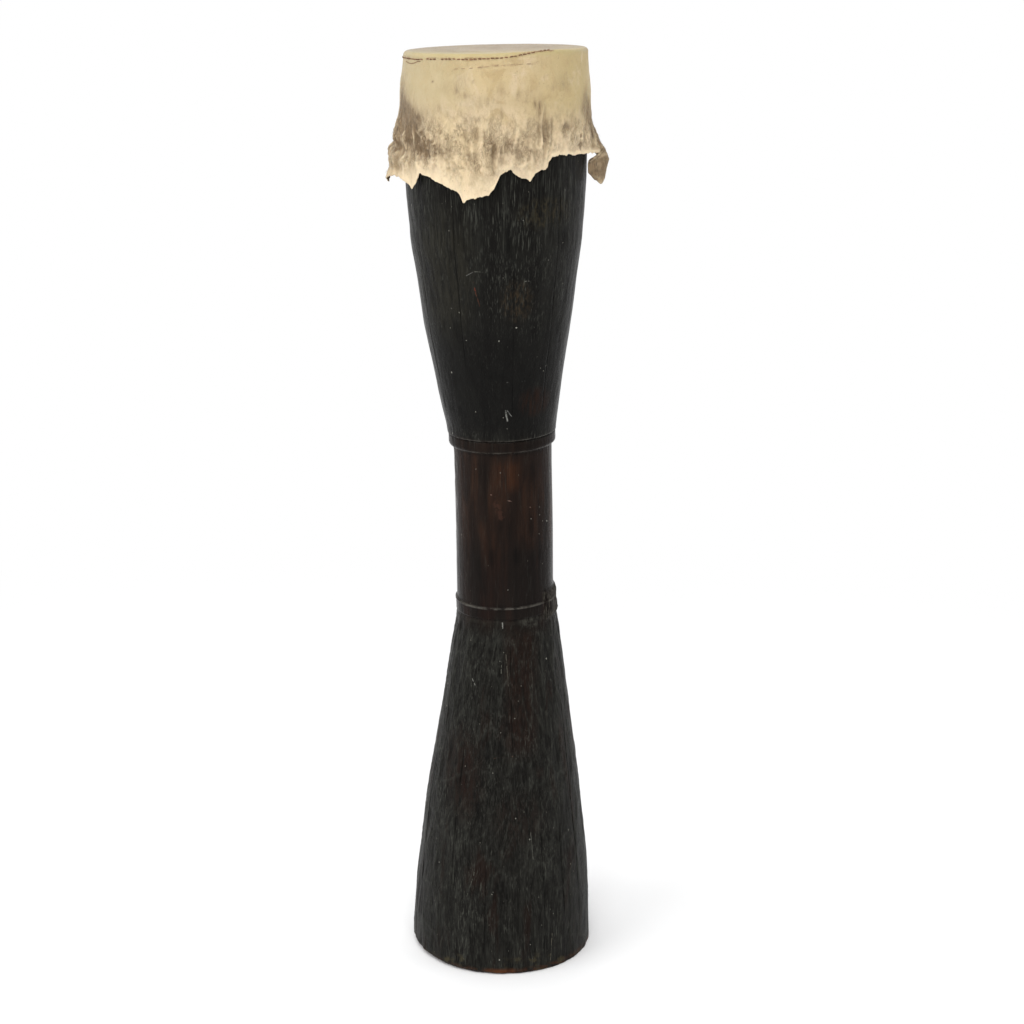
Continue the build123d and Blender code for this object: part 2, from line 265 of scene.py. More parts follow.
class Shader:
    """Builds one material: color is painted in coats, then finished with sheen and relief."""

    def __init__(self, name):
        self.mat = bpy.data.materials.new(name)
        self.mat.use_nodes = True
        self.tree = self.mat.node_tree
        self.tree.nodes.clear()
        self.place = self.make("ShaderNodeTexCoord", output="Object")

    def put(self, socket, value):
        if isinstance(value, Value):
            self.tree.links.new(value.socket, socket)
            return
        if isinstance(value, tuple) and socket.type == "RGBA":
            value = (*value, 1.0)
        socket.default_value = value

    def make(self, kind, inputs=None, output=0, **props):
        node = self.tree.nodes.new(kind)
        for key, value in props.items():
            setattr(node, key, value)
        for key, value in (inputs or {}).items():
            self.put(node.inputs[key], value)
        return Value(self, node.outputs[output])

    def sibling(self, value, output):
        """Another output of the node that made value."""
        return Value(self, value.socket.node.outputs[output])

    def math(self, operation, *values, clamp=False):
        return self.make("ShaderNodeMath", dict(enumerate(values)),
                         operation=operation, use_clamp=clamp)

    def maximum(self, a, b):
        return self.math("MAXIMUM", a, b)

    def minimum(self, a, b):
        return self.math("MINIMUM", a, b)

    def rest(self, value):
        """What value leaves of one, clamped."""
        return self.math("SUBTRACT", 1.0, value, clamp=True)

    def vector(self, operation, *values, output="Vector"):
        return self.make("ShaderNodeVectorMath", dict(enumerate(values)), output,
                         operation=operation)

    def ramp(self, value, over, to):
        """Smooth change between the two results as value passes between the two limits."""
        return self.make("ShaderNodeMapRange", dict(enumerate((value, *over, *to))),
                         interpolation_type="SMOOTHSTEP", clamp=True)

    def rise(self, value, over):
        return self.ramp(value, over, to=(0.0, 1.0))

    def fall(self, value, over):
        return self.ramp(value, over, to=(1.0, 0.0))

    def mix(self, amount, a, b):
        return self.make("ShaderNodeMix", {0: amount, 6: a, 7: b}, output=2,
                         data_type="RGBA", clamp_factor=True)

    def paint(self, amount, color):
        self.color = self.mix(amount, self.color, color)

    def scaled(self, scale, shift):
        return self.make("ShaderNodeMapping",
                         {"Vector": self.place, "Scale": triple(scale), "Location": shift})

    def noise(self, scale, detail=3.0, rough=0.6, distort=0.0, shift=(0, 0, 0)):
        return self.make("ShaderNodeTexNoise", {
            "Vector": self.scaled(scale, shift), "Scale": 1.0, "Detail": detail,
            "Roughness": rough, "Distortion": distort}, output="Fac")

    def dots(self, scale, shift=(0, 0, 0)):
        """Distance to the nearest scattered point, and three random numbers of that point."""
        distance = self.make("ShaderNodeTexVoronoi",
                             {"Vector": self.scaled(scale, shift), "Scale": 1.0},
                             output="Distance", feature="F1")
        return distance, self.split(self.sibling(distance, "Color"))

    def attr(self, name):
        return self.make("ShaderNodeAttribute", output="Fac", attribute_name=name)

    def split(self, vector):
        x = self.make("ShaderNodeSeparateXYZ", {0: vector})
        return x, self.sibling(x, 1), self.sibling(x, 2)

    def surface(self, rough, height, strength, distance, specular, **extra):
        """Principled surface with the height as bump."""
        bump = self.make("ShaderNodeBump",
                         {"Strength": strength, "Distance": distance, "Height": height})
        inputs = {"Base Color": self.color, "Roughness": rough, "Normal": bump,
                  "Specular IOR Level": specular}
        inputs.update({key.replace("_", " "): value for key, value in extra.items()})
        return self.make("ShaderNodeBsdfPrincipled", inputs)

    def output(self, surface):
        node = self.tree.nodes.new("ShaderNodeOutputMaterial")
        self.put(node.inputs[0], surface)
        return self.mat

    def finish(self, *settings, **named):
        return self.output(self.surface(*settings, **named))


# ------------------------------------------------------------------ the carved body: its grid
BODY_COLUMNS = 308
CHECK_HALF = 0.42  # degrees from a drying check to the columns beside it
# drying checks that run with the grain: angle, from height, to height, depth in mm
CHECKS = [
    (28, 0.010, 0.215, 1.5), (-37, 0.075, 0.30, 1.3), (61, 0.0, 0.33, 1.7), (-71, 0.03, 0.26, 1.2),
    (6, 0.25, 0.385, 0.9), (13, 0.62, 0.80, 1.0), (-27, 0.68, 0.87, 1.1), (46, 0.63, 0.90, 1.2),
    (-64, 0.62, 0.80, 1.0), (98, 0.0, 0.24, 1.9), (139, 0.04, 0.36, 1.4), (171, 0.60, 0.90, 1.7),
    (204, 0.0, 0.31, 1.8), (238, 0.05, 0.22, 1.3), (116, 0.64, 0.86, 1.2), (221, 0.62, 0.84, 1.3),
    (160, 0.41, 0.57, 0.9), (-12, 0.02, 0.13, 1.0), (44, 0.05, 0.17, 1.0), (252, 0.66, 0.88, 1.3)]


def column_angles():
    """Even columns, thinned near each check and with three columns along it."""
    even = list(np.arange(BODY_COLUMNS) * 360.0 / BODY_COLUMNS - 180.0)
    angles = [a for a in even if all(abs(wrap(a - check[0])) > 0.62 for check in CHECKS)]
    for check in CHECKS:
        angles += [check[0] - CHECK_HALF, float(check[0]), check[0] + CHECK_HALF]
    return np.array(sorted(wrap(a) for a in angles))


def span(start, end, step):
    return list(np.linspace(start, end, max(2, int(round((end - start) / step)) + 1)))


# heights along the trunk; close pairs where the collars step in or out
OUTER_Z = np.array(
    [0.0003, 0.0012] + span(0.0025, 0.3918, 0.00222)
    + [0.3931, 0.3950, 0.3972, 0.3982, 0.3987, 0.3996] + span(0.4018, 0.4088, 0.0022)
    + [0.4092, 0.4096, 0.4104, 0.4112, 0.4117, 0.4128] + span(0.4150, 0.5800, 0.00245)
    + [0.5818, 0.5829, 0.58375, 0.5843, 0.5850, 0.5860, 0.5872, 0.5888]
    + span(0.5908, 0.5948, 0.002) + [0.5957, 0.5962, 0.5967, 0.59715, 0.5976, 0.5986]
    + span(0.6006, 0.9030, 0.00225))
HIDDEN_START = 0.903  # from here to the rounding of the rim the wood is under the hide
HIDDEN_STEPS = np.linspace(0, 1, 22)[1:]
ROUND_DROP = 0.0034  # the rounding of the rim starts this far below its crest

cad_mesh = NODES["drum_body"].data
cad_points = np.zeros(len(cad_mesh.vertices) * 3, np.float32)
cad_mesh.vertices.foreach_get("co", cad_points)
body_bvh = BVHTree.FromPolygons([Vector(v) for v in cad_points.reshape(-1, 3)],
                                [tuple(p.vertices) for p in cad_mesh.polygons])


def trunk_rays(height, angle):
    """Section origins on the axis and outward directions."""
    tilt = np.radians(table(TILT, height))
    turn = np.radians(angle)
    origins = np.stack([lean(height), np.zeros_like(height), height], -1)
    outward = np.stack([np.sin(turn) * np.cos(tilt), -np.cos(turn),
                        np.sin(turn) * np.sin(tilt)], -1)
    return origins, outward


def cad_radius(origins, outward, from_outside):
    """Radius of the CAD body's outermost or innermost surface on a (rows, columns) grid."""
    far, bore_reach = 0.25, 0.2
    radius = np.full(origins.shape[:2], np.nan)
    for i in np.ndindex(radius.shape):
        o, d = origins[i], outward[i]
        if from_outside:
            distance = body_bvh.ray_cast(Vector(o + d * far), Vector(-d), far)[3]
        else:
            distance = body_bvh.ray_cast(Vector(o), Vector(d), bore_reach)[3]
        if distance is not None:
            radius[i] = far - distance if from_outside else distance
    # missed rays take their row's median, or the row before
    for j in range(len(radius)):
        bad = np.isnan(radius[j])
        if bad.any():
            good = radius[j][~bad]
            radius[j][bad] = np.median(good) if len(good) else radius[j - 1][bad]
    return radius


height, angle = np.meshgrid(OUTER_Z, column_angles(), indexing="ij")
# the grain wanders a little round the trunk as it climbs
grain_angle = (angle + (1.6 * noise((height * 5.0, 3.1, 0.0), seed=41)
                        + 0.5 * noise((height * 21.0, 8.1, 0.0), seed=42)))
origins, outward = trunk_rays(height, grain_angle)
radius = cad_radius(origins, outward, from_outside=True)
# the bowl swells in one fair curve up to the seat of the hide; height, radius
BOWL_CURVE = [(0.800, 0.0892), (0.8226, 0.0912), (0.836, 0.09245), (0.850, 0.0935),
              (0.858, 0.09380)]
radius = radius + ((table(BOWL_CURVE, height) - radius)
                   * smooth(0.806, 0.824, height) * smooth(0.859, 0.850, height))

# ------------------------------------------------------------------ carving marks, outward in mm
wood_place = tuple(np.moveaxis(origins + outward * radius[..., None], -1, 0))
bell = smooth(0.402, 0.385, height)
bowl = smooth(0.594, 0.606, height)
waist = 1 - bell - bowl
under = smooth(0.868, 0.900, height)  # under the hide
upper_bowl = smooth(0.74, 0.85, height)


def by_zone(on_bell, on_waist, on_bowl):
    return bell * on_bell + waist * on_waist + bowl * on_bowl


def band(at, width):
    """Ring round the trunk at a height; its half width is in mm."""
    return gauss((height - at) * 1000, width)


def arc_mm(degrees):
    return np.radians(wrap(degrees)) * radius * 1000


def ring_wood(scale, seed):
    return noise(wood_place, scale, seed=seed)


# adze facets, large and small: 30 and 58 round the trunk
facet, facet_gap = cells(
    grain_angle / 360 * 30 + 1.2 * noise((height * 9, 0.0, 2.0), seed=3) + 60,
    height / 0.058 + 0.35 * ring_wood(40, 9), seed=21, period=30)
small_facet, _ = cells(grain_angle / 360 * 58 + 58, height / 0.030, seed=77, period=58)
carving = by_zone(0.95, 0.10, 0.34 + 0.22 * smooth(0.70, 0.82, height)) * (
    (facet**2 - 0.30) * 0.95 + 0.45 * (small_facet**2 - 0.3))
# slow unevenness, then grain and its furrows
carving += by_zone(0.55, 0.22, 0.42) * fractal(wood_place, (14, 14, 5), octaves=3, seed=5)
furrow = ridges(wood_place, (150, 150, 7), octaves=2, seed=19)
carving += by_zone(0.24, 0.05, 0.10 + 0.14 * upper_bowl) * fractal(
    wood_place, (330, 330, 13), octaves=2, seed=15)
carving -= by_zone(0.42, 0.06, 0.16 + 0.14 * upper_bowl) * np.clip(furrow - 0.25, 0, 1)
# facet borders stand as faint ridges on the bell, and cross cuts of the adze break the grain
border = gauss(facet_gap, 0.07) * bell
carving += 0.28 * border
chatter = np.clip(ring_wood(34, 72), 0, 1) * bell
cuts = height / 0.0085 + 1.4 * ring_wood(30, 73)
carving += 0.55 * chatter * ((cuts - np.floor(cuts)) - 0.5) * smooth(0.10, 0.35, facet_gap)
# short gouges left by the adze
gouge = np.clip(ring_wood((120, 120, 32), 71) - 0.42, 0, 1)
carving -= by_zone(1.5, 0, 0.55) * gouge

# drying checks
# darkening painted into the checks and dents is gathered here
recess_dark = np.zeros_like(carving)
for at, low_end, high_end, depth in CHECKS:
    run = (smooth(low_end - 0.004, low_end + 0.02, height)
           * smooth(high_end + 0.004, high_end - 0.03, height))
    run = run * (0.55 + 0.45 * noise((height * 40, 0.0, float(at)), seed=91)
                 if False else run * 0 + 0.55 + 0.45 * noise((height * 40, float(at), 0.0), seed=91))
    line = (np.abs(wrap(angle - at)) < 0.2) * run
    carving -= depth * np.clip(line, 0, 1)
    recess_dark += np.clip(line * 1.4, 0, 1)
    recess_dark += 0.35 * (np.abs(wrap(angle - at)) < 0.5) * np.clip(run, 0, 1)

# small dents and chips, shallower on the waist
DENTS = 240
for _ in range(DENTS):
    at_angle, at_height = rng.uniform(-180, 180), rng.uniform(0.01, 0.86)
    half_width, half_height = rng.uniform(0.8, 2.2), rng.uniform(1.0, 5.0)
    depth = rng.uniform(0.15, 0.75)
    near = np.abs(height[:, 0] - at_height) < 0.016
    if 0.41 < at_height < 0.59:
        depth *= 0.45
    across = np.radians(wrap(angle[near] - at_angle)) * (radius[near] * 1000)
    dent = gauss(across, half_width) * gauss((height[near] - at_height) * 1000, half_height)
    carving[near] -= depth * dent
    recess_dark[near] += 0.5 * depth * dent

# lips of the collars, nicked and softened by handling
lips = band(0.4104, 1.6) + band(0.5985, 1.8) + band(0.3955, 2.0) + band(0.5868, 3.0)
nick = np.clip(ring_wood((70, 70, 20), 33) - 0.35, 0, 1) + 0.07 * ring_wood((260, 260, 90), 34)
carving -= np.clip(lips, 0, 1) * nick
# thin worn arrises, the only places on the collars that catch the light; they are painted pale, part
# handling wear, part painted highlight
arris_wear_highlight = (band(0.4108, 0.75) + 0.75 * band(0.5977, 0.6) + 0.55 * band(0.5845, 0.8)
         + 0.45 * band(0.3962, 0.8))
# the bell's upper edge stands square against the groove under the lower collar
carving += 1.1 * smooth(0.3912, 0.3928, height) * smooth(0.3972, 0.3962, height)
# a raised blister of harder grain on the front right of the bell, with a seam running down
blister = gauss(arc_mm(grain_angle - 25.5), 2.6) * band(0.3165, 11.0)
seam = (gauss(arc_mm(grain_angle - 26.5 - 22 * (0.300 - height) / 0.06), 1.1)
        * smooth(0.262, 0.275, height) * smooth(0.318, 0.302, height))
carving += 1.5 * blister + 0.7 * seam
hard_grain = np.clip(blister * 1.1 + seam * 0.8, 0, 1)
# the broken lug stump is rough and torn
lug_side = smooth(48.5, 52.0, grain_angle) * smooth(112.0, 108.0, grain_angle)
lug = lug_side * smooth(0.386, 0.394, height) * smooth(0.4225, 0.4195, height)
carving -= (lug_side * smooth(0.4195, 0.4215, height) * smooth(0.436, 0.430, height)
            * np.clip(radius * 1000 - 52.8, 0, 3))
tear = fractal(wood_place, (240, 240, 70), octaves=3, seed=51)
carving += lug_side * 0.7 * smooth(0.4215, 0.4190, height) * smooth(0.404, 0.414, height)
carving += lug * (0.9 * tear - 0.3 + 0.8 * np.clip(ring_wood(90, 52), -1, 0.7))
carving += (lug_side * smooth(0.394, 0.380, height) * smooth(0.345, 0.375, height)
            * (0.7 + 0.35 * tear))
# the foot's edge is bruised and chipped
carving -= smooth(0.022, 0.0, height) * (
    0.25 + 0.9 * np.clip(ring_wood((55, 55, 60), 61) - 0.1, 0, 1) + 0.25 * tear)
carving = carving * (1 - under) - 0.15 * under

# ------------------------------------------------------------------ the carved body: its rows
outer = origins + outward * (radius + carving / 1000)[..., None]
top_angle = grain_angle[-1]
columns = len(top_angle)
top_sin, top_cos = np.sin(np.radians(top_angle)), np.cos(np.radians(top_angle))


def rim_height(at_radius):
    """Top of the wood under the hide, at each column."""
    plane = head_z(lean(0.99) + at_radius * top_sin, -at_radius * top_cos)
    return plane - HIDE_THICKNESS - 0.0001


crest_z = rim_height(0.092)
# straight part under the hide
hidden_z = HIDDEN_START + (crest_z - ROUND_DROP - HIDDEN_START)[None, :] * HIDDEN_STEPS[:, None]
origins, outward = trunk_rays(hidden_z, np.tile(top_angle, (len(HIDDEN_STEPS), 1)))
hidden_radius = cad_radius(origins, outward, from_outside=True) - 0.00015
hidden = origins + outward * hidden_radius[..., None]
# rounding of the rim up to its crest, then the bearing slope
rim = []
for degrees in (22, 45, 68, 90):
    turn = math.radians(degrees)
    rim.append(ring_point(top_angle, hidden_radius[-1] - 0.003 * (1 - math.cos(turn)),
                          crest_z - ROUND_DROP + 0.0032 * math.sin(turn)))
for slope_radius, drop in ((0.0884, 0.0002), (0.0868, 0.0030), (0.0845, 0.0072), (0.0822, 0.0118)):
    rough = 0.0002 * noise((top_sin, top_cos, 0.0), 30, seed=12)
    rim.append(ring_point(top_angle, slope_radius + rough, rim_height(slope_radius) - drop))
# down the bore, hollowed roughly
bore_z = np.concatenate([[0.976, 0.965], np.linspace(0.95, 0.02, 88), [0.010, 0.004, 0.0003]])
bore_z, bore_angle = np.meshgrid(bore_z, top_angle, indexing="ij")
origins, outward = trunk_rays(bore_z, bore_angle)
bore_radius = cad_radius(origins, outward, from_outside=False)
bore_place = tuple(np.moveaxis(origins + outward * bore_radius[..., None], -1, 0))
scoop, _ = cells(bore_angle / 360 * 22 + 44, bore_z / 0.05, seed=131, period=22)
rough_mm = (0.9 * (scoop**2 - 0.3)
            + 0.5 * fractal(bore_place, (60, 60, 18), octaves=3, seed=133))
fade = smooth(0.985, 0.95, bore_z) * smooth(0.0, 0.02, bore_z)
bore = origins + outward * (bore_radius - rough_mm / 1000 * fade)[..., None]
# underside of the foot: end grain between bore and outer edge
foot_rows = []
for t in np.linspace(0, 1, 9)[1:-1]:
    row = bore[-1] * (1 - t) + outer[0] * t
    pits = np.abs(noise((row[:, 0], row[:, 1], 0.0), 90, seed=141))
    row[:, 2] = 0.0003 + 0.0006 * pits * math.sin(math.pi * t)
    foot_rows.append(row)
body_grid = np.concatenate([outer, hidden, np.array(rim), bore, np.array(foot_rows)], 0)
body_rows = len(body_grid)
outside_rows = len(OUTER_Z) + len(HIDDEN_STEPS) + 4
inside = np.zeros((body_rows, columns))
inside[outside_rows:] = 1


def whole_body(values, fill=0.0):
    """Extends values of the visible outside to all rows of the body."""
    rest = np.full((body_rows - len(OUTER_Z), columns), fill)
    return np.concatenate([values, rest], 0)


# raised, rubbed places
raised = carving - fractal(wood_place, (20, 20, 8), octaves=2, seed=5) * 0.3
wood_attrs = {
    "cavity": whole_body(np.clip(recess_dark + gouge * 1.2 + np.clip(furrow - 0.45, 0, 1) * 0.8, 0, 1)),
    "high": whole_body(np.clip(raised * 1.2, 0, 1) * (1 - under)),
    "lip_wear_highlight": whole_body(np.clip(arris_wear_highlight * (1 - 0.6 * nick), 0, 1)),
    "lug": whole_body(lug),
    "inside": inside,
    "ridge": whole_body(np.clip(0.55 * border + 0.8 * hard_grain, 0, 1)),
    "under": whole_body(under, 1.0)}

# ------------------------------------------------------------------ wood
# scratches and rubbed marks: from angle, height, to angle, height, width, color, strength
SCRATCHES = [
    (-20.6, 0.7800, -15.1, 0.7830, 0.0006, (0.12, 0.12, 0.11), 0.8),
    (-15.1, 0.7830, -8.9, 0.7838, 0.0006, (0.12, 0.12, 0.10), 0.8),
    (-16.1, 0.7712, -14.4, 0.7597, 0.0008, (0.12, 0.026, 0.014), 0.9),
    (-14.4, 0.7597, -12.0, 0.7482, 0.0006, (0.09, 0.035, 0.02), 0.7),
    (20.0, 0.7715, 24.0, 0.7726, 0.0007, (0.15, 0.15, 0.13), 0.8),
    (5.6, 0.6313, 6.6, 0.6212, 0.0011, (0.22, 0.22, 0.20), 0.9),
    (6.6, 0.6330, 11.2, 0.6260, 0.0007, (0.16, 0.16, 0.15), 0.8),
    (-15.1, 0.5376, 8.1, 0.5313, 0.0008, (0.18, 0.115, 0.095), 0.95),
    (8.1, 0.5313, 32.9, 0.5213, 0.0006, (0.12, 0.076, 0.062), 0.95),
    (-8.5, 0.5280, -3.0, 0.5140, 0.0050, (0.040, 0.0185, 0.0125), 0.6),
    (7.0, 0.6640, 24.0, 0.6630, 0.0006, (0.085, 0.085, 0.078), 0.7),
    (20.0, 0.1630, 21.0, 0.1300, 0.0007, (0.095, 0.095, 0.080), 0.8),
    (-20.0, 0.1180, -24.0, 0.0900, 0.0006, (0.085, 0.085, 0.070), 0.8),
    (35.0, 0.040, 33.5, 0.006, 0.0006, (0.12, 0.11, 0.085), 0.8),
    (-3.8, 0.3945, -3.6, 0.3885, 0.0009, (0.20, 0.20, 0.18), 0.9),
    (-34.5, 0.3310, -31.5, 0.3245, 0.0006, (0.20, 0.20, 0.18), 0.9),
    (-4.9, 0.349, -4.2, 0.340, 0.0006, (0.11, 0.11, 0.09), 0.8),
    (0.6, 0.360, 2.4, 0.326, 0.0008, (0.075, 0.070, 0.056), 0.8),
    (-9.0, 0.247, 7.0, 0.249, 0.0008, (0.085, 0.052, 0.036), 0.8),
    (168.0, 0.70, 176.0, 0.742, 0.0008, (0.12, 0.12, 0.10), 0.8),
    (-118.0, 0.16, -110.0, 0.20, 0.0008, (0.11, 0.11, 0.09), 0.8)]


def on_wood(at_angle, at_height):
    j = int(np.argmin(np.abs(OUTER_Z - at_height)))
    i = int(np.argmin(np.abs(wrap(grain_angle[j] - at_angle))))
    return Vector([float(v) for v in outer[j, i]])


def paint_scratches(m):
    """Straight marks, all bent by one slow wobble and broken by it."""
    wobble = m.noise(240, detail=2.0, rough=0.5)
    offset = m.vector("MULTIPLY_ADD", m.sibling(wobble, "Color"), (0.0012,) * 3, (-0.0006,) * 3)
    bent = m.vector("ADD", m.place, offset)
    broken = m.rise(wobble, over=(0.38, 0.52))
    for angle_a, z_a, angle_b, z_b, width, color, strength in SCRATCHES:
        start = on_wood(angle_a, z_a)
        reach = on_wood(angle_b, z_b) - start
        away = m.vector("SUBTRACT", bent, tuple(start))
        share = m.vector("DOT_PRODUCT", away, reach / reach.length_squared, output="Value")
        along = m.math("ADD", share, 0.0, clamp=True)
        nearest = m.make("ShaderNodeVectorMath", {0: reach, "Scale": along}, operation="SCALE")
        distance = m.vector("DISTANCE", away, nearest, output="Value")
        line = m.fall(distance, over=(width * 0.30, width))
        m.paint(line * broken * strength, color)


def paint_wood_dust(m, waist, dusty):
    """Specks of pale dust and resin, then finer dust in drifts."""
    distance, pick = m.dots((120, 120, 105))
    size = 0.030 + pick[1] * pick[1] * 0.085
    speck = (distance < size) * (pick[0] > waist * 0.10 + 0.78)
    m.paint(speck * (0.25 + pick[2] * 0.6), (0.36, 0.35, 0.30))
    distance, pick = m.dots((310, 310, 230), shift=(3, 1, 2))
    drift = m.rise(m.noise((30, 30, 24), shift=(4, 4, 9)), over=(0.42, 0.66))
    dust = (distance < 0.05 + pick[1] * 0.12) * (
        pick[0] > 0.985 - drift * ((0.25 + dusty * 0.75) * 0.13))
    m.paint(dust * (0.25 + pick[2] * 0.5), (0.24, 0.23, 0.19))


def waist_color(m, x, y, z, mid):
    """The waist is rubbed smooth and shows reddish brown."""
    red = m.noise((62, 62, 13), rough=0.55, distort=0.5, shift=(3.1, 0.4, 1.7))
    dark = m.mix(m.rise(z, over=(0.455, 0.515)),
                 (0.0078, 0.0054, 0.0044), (0.0120, 0.0068, 0.0050))
    brown = m.mix(m.rise(z, over=(0.44, 0.53)),
                  (0.0130, 0.0064, 0.0046), (0.0270, 0.0125, 0.0072))
    color = m.mix(m.rise(red, over=(0.40, 0.68)) * (0.45 + m.rise(mid, over=(0.34, 0.62)) * 0.55),
                  dark, brown)
    glow = m.fall(abs(x - 0.008), over=(0.004, 0.018)) * (
        m.rise(z, over=(0.535, 0.552)) * m.rise(z, over=(0.580, 0.566)))
    glow = glow * m.rise(y, over=(0.0, -0.02))
    return m.mix(glow * m.rise(mid, over=(0.3, 0.6)), color, (0.034, 0.0135, 0.0065))


def paint_wood_patches(m, x, y, z, mid):
    """Brown, reddish and pale patches on the front."""
    gritty = m.rise(m.noise((330, 330, 150), detail=4.0, rough=0.65, distort=0.4),
                    over=(0.42, 0.66))

    def grain(*over):
        return m.rise(mid, over=over)

    # middle x, z; half size in x, z; color; strength; texture
    for mid_x, mid_z, half_x, half_z, color, strength, texture in (
            (0.017, 0.752, 0.016, 0.022, (0.034, 0.024, 0.014), 0.9, gritty),
            (0.046, 0.842, 0.026, 0.016, (0.040, 0.033, 0.019), 0.85, gritty),
            (-0.055, 0.780, 0.030, 0.070, (0.019, 0.0175, 0.0125), 0.75, grain(0.30, 0.60)),
            (0.036, 0.640, 0.016, 0.016, (0.020, 0.0085, 0.0050), 0.7, grain(0.35, 0.6)),
            (-0.040, 0.225, 0.022, 0.050, (0.0130, 0.0062, 0.0044), 0.8, grain(0.35, 0.6)),
            (0.020, 0.180, 0.030, 0.030, (0.0120, 0.0062, 0.0046), 0.6, grain(0.38, 0.6)),
            (0.033, 0.394, 0.013, 0.006, (0.055, 0.053, 0.044), 0.7, gritty),
            (-0.004, 0.372, 0.006, 0.026, (0.040, 0.040, 0.034), 0.6, grain(0.40, 0.62))):
        dx = (x - mid_x) / half_x
        dz = (z - mid_z) / half_z
        spot = m.fall(dx * dx + dz * dz, over=(0.0, 1.6)) * m.rise(y, over=(0.0, -0.02))
        m.paint(spot * texture * strength, color)


def wood_material():
    m = Shader("old_dark_hardwood")
    x, y, z = m.split(m.place)
    bell = m.fall(z, over=(0.372, 0.402))
    bowl = m.rise(z, over=(0.592, 0.600))
    top = m.rise(z, over=(0.70, 0.85))
    waist = m.rest(bell + bowl)
    # streaks along the grain at three widths
    fine = m.noise((680, 680, 30), rough=0.64, distort=0.45)
    mid = m.noise((280, 280, 17), detail=4.0, rough=0.62, distort=0.6)
    broad = m.noise((58, 58, 3.2), rough=0.55, distort=0.4)
    # the bell was hewn across the grain: its fibres are short and torn
    short = m.noise((560, 560, 62), rough=0.66, distort=1.5, shift=(0.7, 0.2, 0.5))
    torn = m.noise((190, 190, 44), detail=4.0, rough=0.62, distort=1.3, shift=(2.7, 1.2, 3.5))
    hewn = m.noise((15, 15, 12), detail=2.0, rough=0.5, shift=(9, 3, 1))
    hewn = bell * (0.35 + m.rise(hewn, over=(0.38, 0.56)) * 0.65)
    fine = fine + hewn * (short - fine)
    mid = mid + hewn * (torn - mid)
    blot = m.noise((26, 26, 14), detail=4.0, distort=0.2)
    flecks = m.noise((900, 900, 60), detail=2.0, rough=0.5)
    # ground color: near black, drifting from warm brown-black to cool grey-green black
    m.color = m.mix(m.rise(broad, over=(0.34, 0.66)),
                    (0.0060, 0.0054, 0.0047), (0.0112, 0.0108, 0.0092))
    m.paint(m.rise(blot, over=(0.45, 0.75)) * 0.55, (0.0115, 0.0113, 0.0094))
    bell_color = m.mix(m.rise(mid, over=(0.36, 0.66)),
                       (0.0056, 0.0050, 0.0042), (0.0205, 0.0200, 0.0170))
    m.paint(bell * 0.80, bell_color)
    m.paint(waist * 0.95, waist_color(m, x, y, z, mid))
    m.paint(waist * (m.rise(z, over=(0.578, 0.585)) * 0.62), (0.0062, 0.0048, 0.0040))
    # reddish patches on the bell where the black has worn away
    red = m.noise((38, 38, 9), detail=4.0, distort=0.35, shift=(0.6, 2.2, 0.9))
    spot = m.fall(abs(x - 0.022), over=(0.008, 0.024)) * (
        m.rise(z, over=(0.235, 0.27)) * (
            m.fall(z, over=(0.375, 0.395)) * m.fall(y, over=(-0.02, 0.0))))
    red = m.maximum(m.rise(red, over=(0.54, 0.68)) * bell * 0.75,
                    spot * m.rise(mid, over=(0.30, 0.6)))
    m.paint(red * 0.9, (0.0135, 0.0062, 0.0042))
    # pale dry streaks, dense on the bell and the top of the bowl
    density = bell * 0.075 + bowl * top * 0.085 + (-0.03)
    thin = m.rise(fine + density, over=(0.585, 0.70))
    wide = m.rise(mid + density, over=(0.62, 0.74))
    patchy = m.rise(m.noise((34, 34, 13), detail=2.0, rough=0.5, shift=(7.0, 1.0, 4.0)),
                    over=(0.36, 0.62))
    streak = m.maximum(thin, wide * 0.6) * (0.30 + patchy * 0.70)
    streak = streak * (1.0 - waist * 0.72) * (1.0 - bell * 0.45)
    m.paint(streak * 0.60, (0.072, 0.074, 0.062))
    # thin crisp fibres standing pale out of the black
    fibre = m.noise((980, 980, 52), detail=2.0, rough=0.55, distort=0.5, shift=(1.7, 6.0, 2.2))
    where = m.rise(m.noise((42, 42, 22), shift=(2.0, 8.0, 1.0)), over=(0.44, 0.62))
    lower_bowl = m.rise(z, over=(0.600, 0.615)) * m.rise(z, over=(0.74, 0.67))
    quiet = 1.0 - (waist * 0.75 + lower_bowl * 0.70)
    fibres = m.rise(fibre, over=(0.585, 0.66)) * (0.22 + where * 0.78) * quiet
    m.paint(fibres * 0.62, (0.064, 0.065, 0.054))
    m.paint(m.rise(fibre, over=(0.42, 0.34)) * (quiet * 0.55), (0.0030, 0.0028, 0.0025))
    # lower bowl: painted darker
    lower_bowl_darkening = m.rise(z, over=(0.600, 0.615)) * m.rise(z, over=(0.76, 0.68))
    m.paint(lower_bowl_darkening * 0.6, (0.0046, 0.0044, 0.0042))
    paint_wood_patches(m, x, y, z, mid)
    m.paint(m.attr("high") * 0.22, (0.030, 0.029, 0.024))
    m.paint(m.attr("ridge") * (m.rise(fine, over=(0.42, 0.62)) * 0.70), (0.062, 0.064, 0.054))
    # pale handling wear on the collar lips and the stump; on the lip arrises the pale is also a
    # painted highlight
    worn = m.rise(m.noise(120), over=(0.34, 0.60))
    m.paint(m.attr("lip_wear_highlight") * worn * 0.85, (0.115, 0.108, 0.092))
    m.paint(m.attr("lug") * m.rise(flecks, over=(0.46, 0.66)), (0.075, 0.068, 0.055))
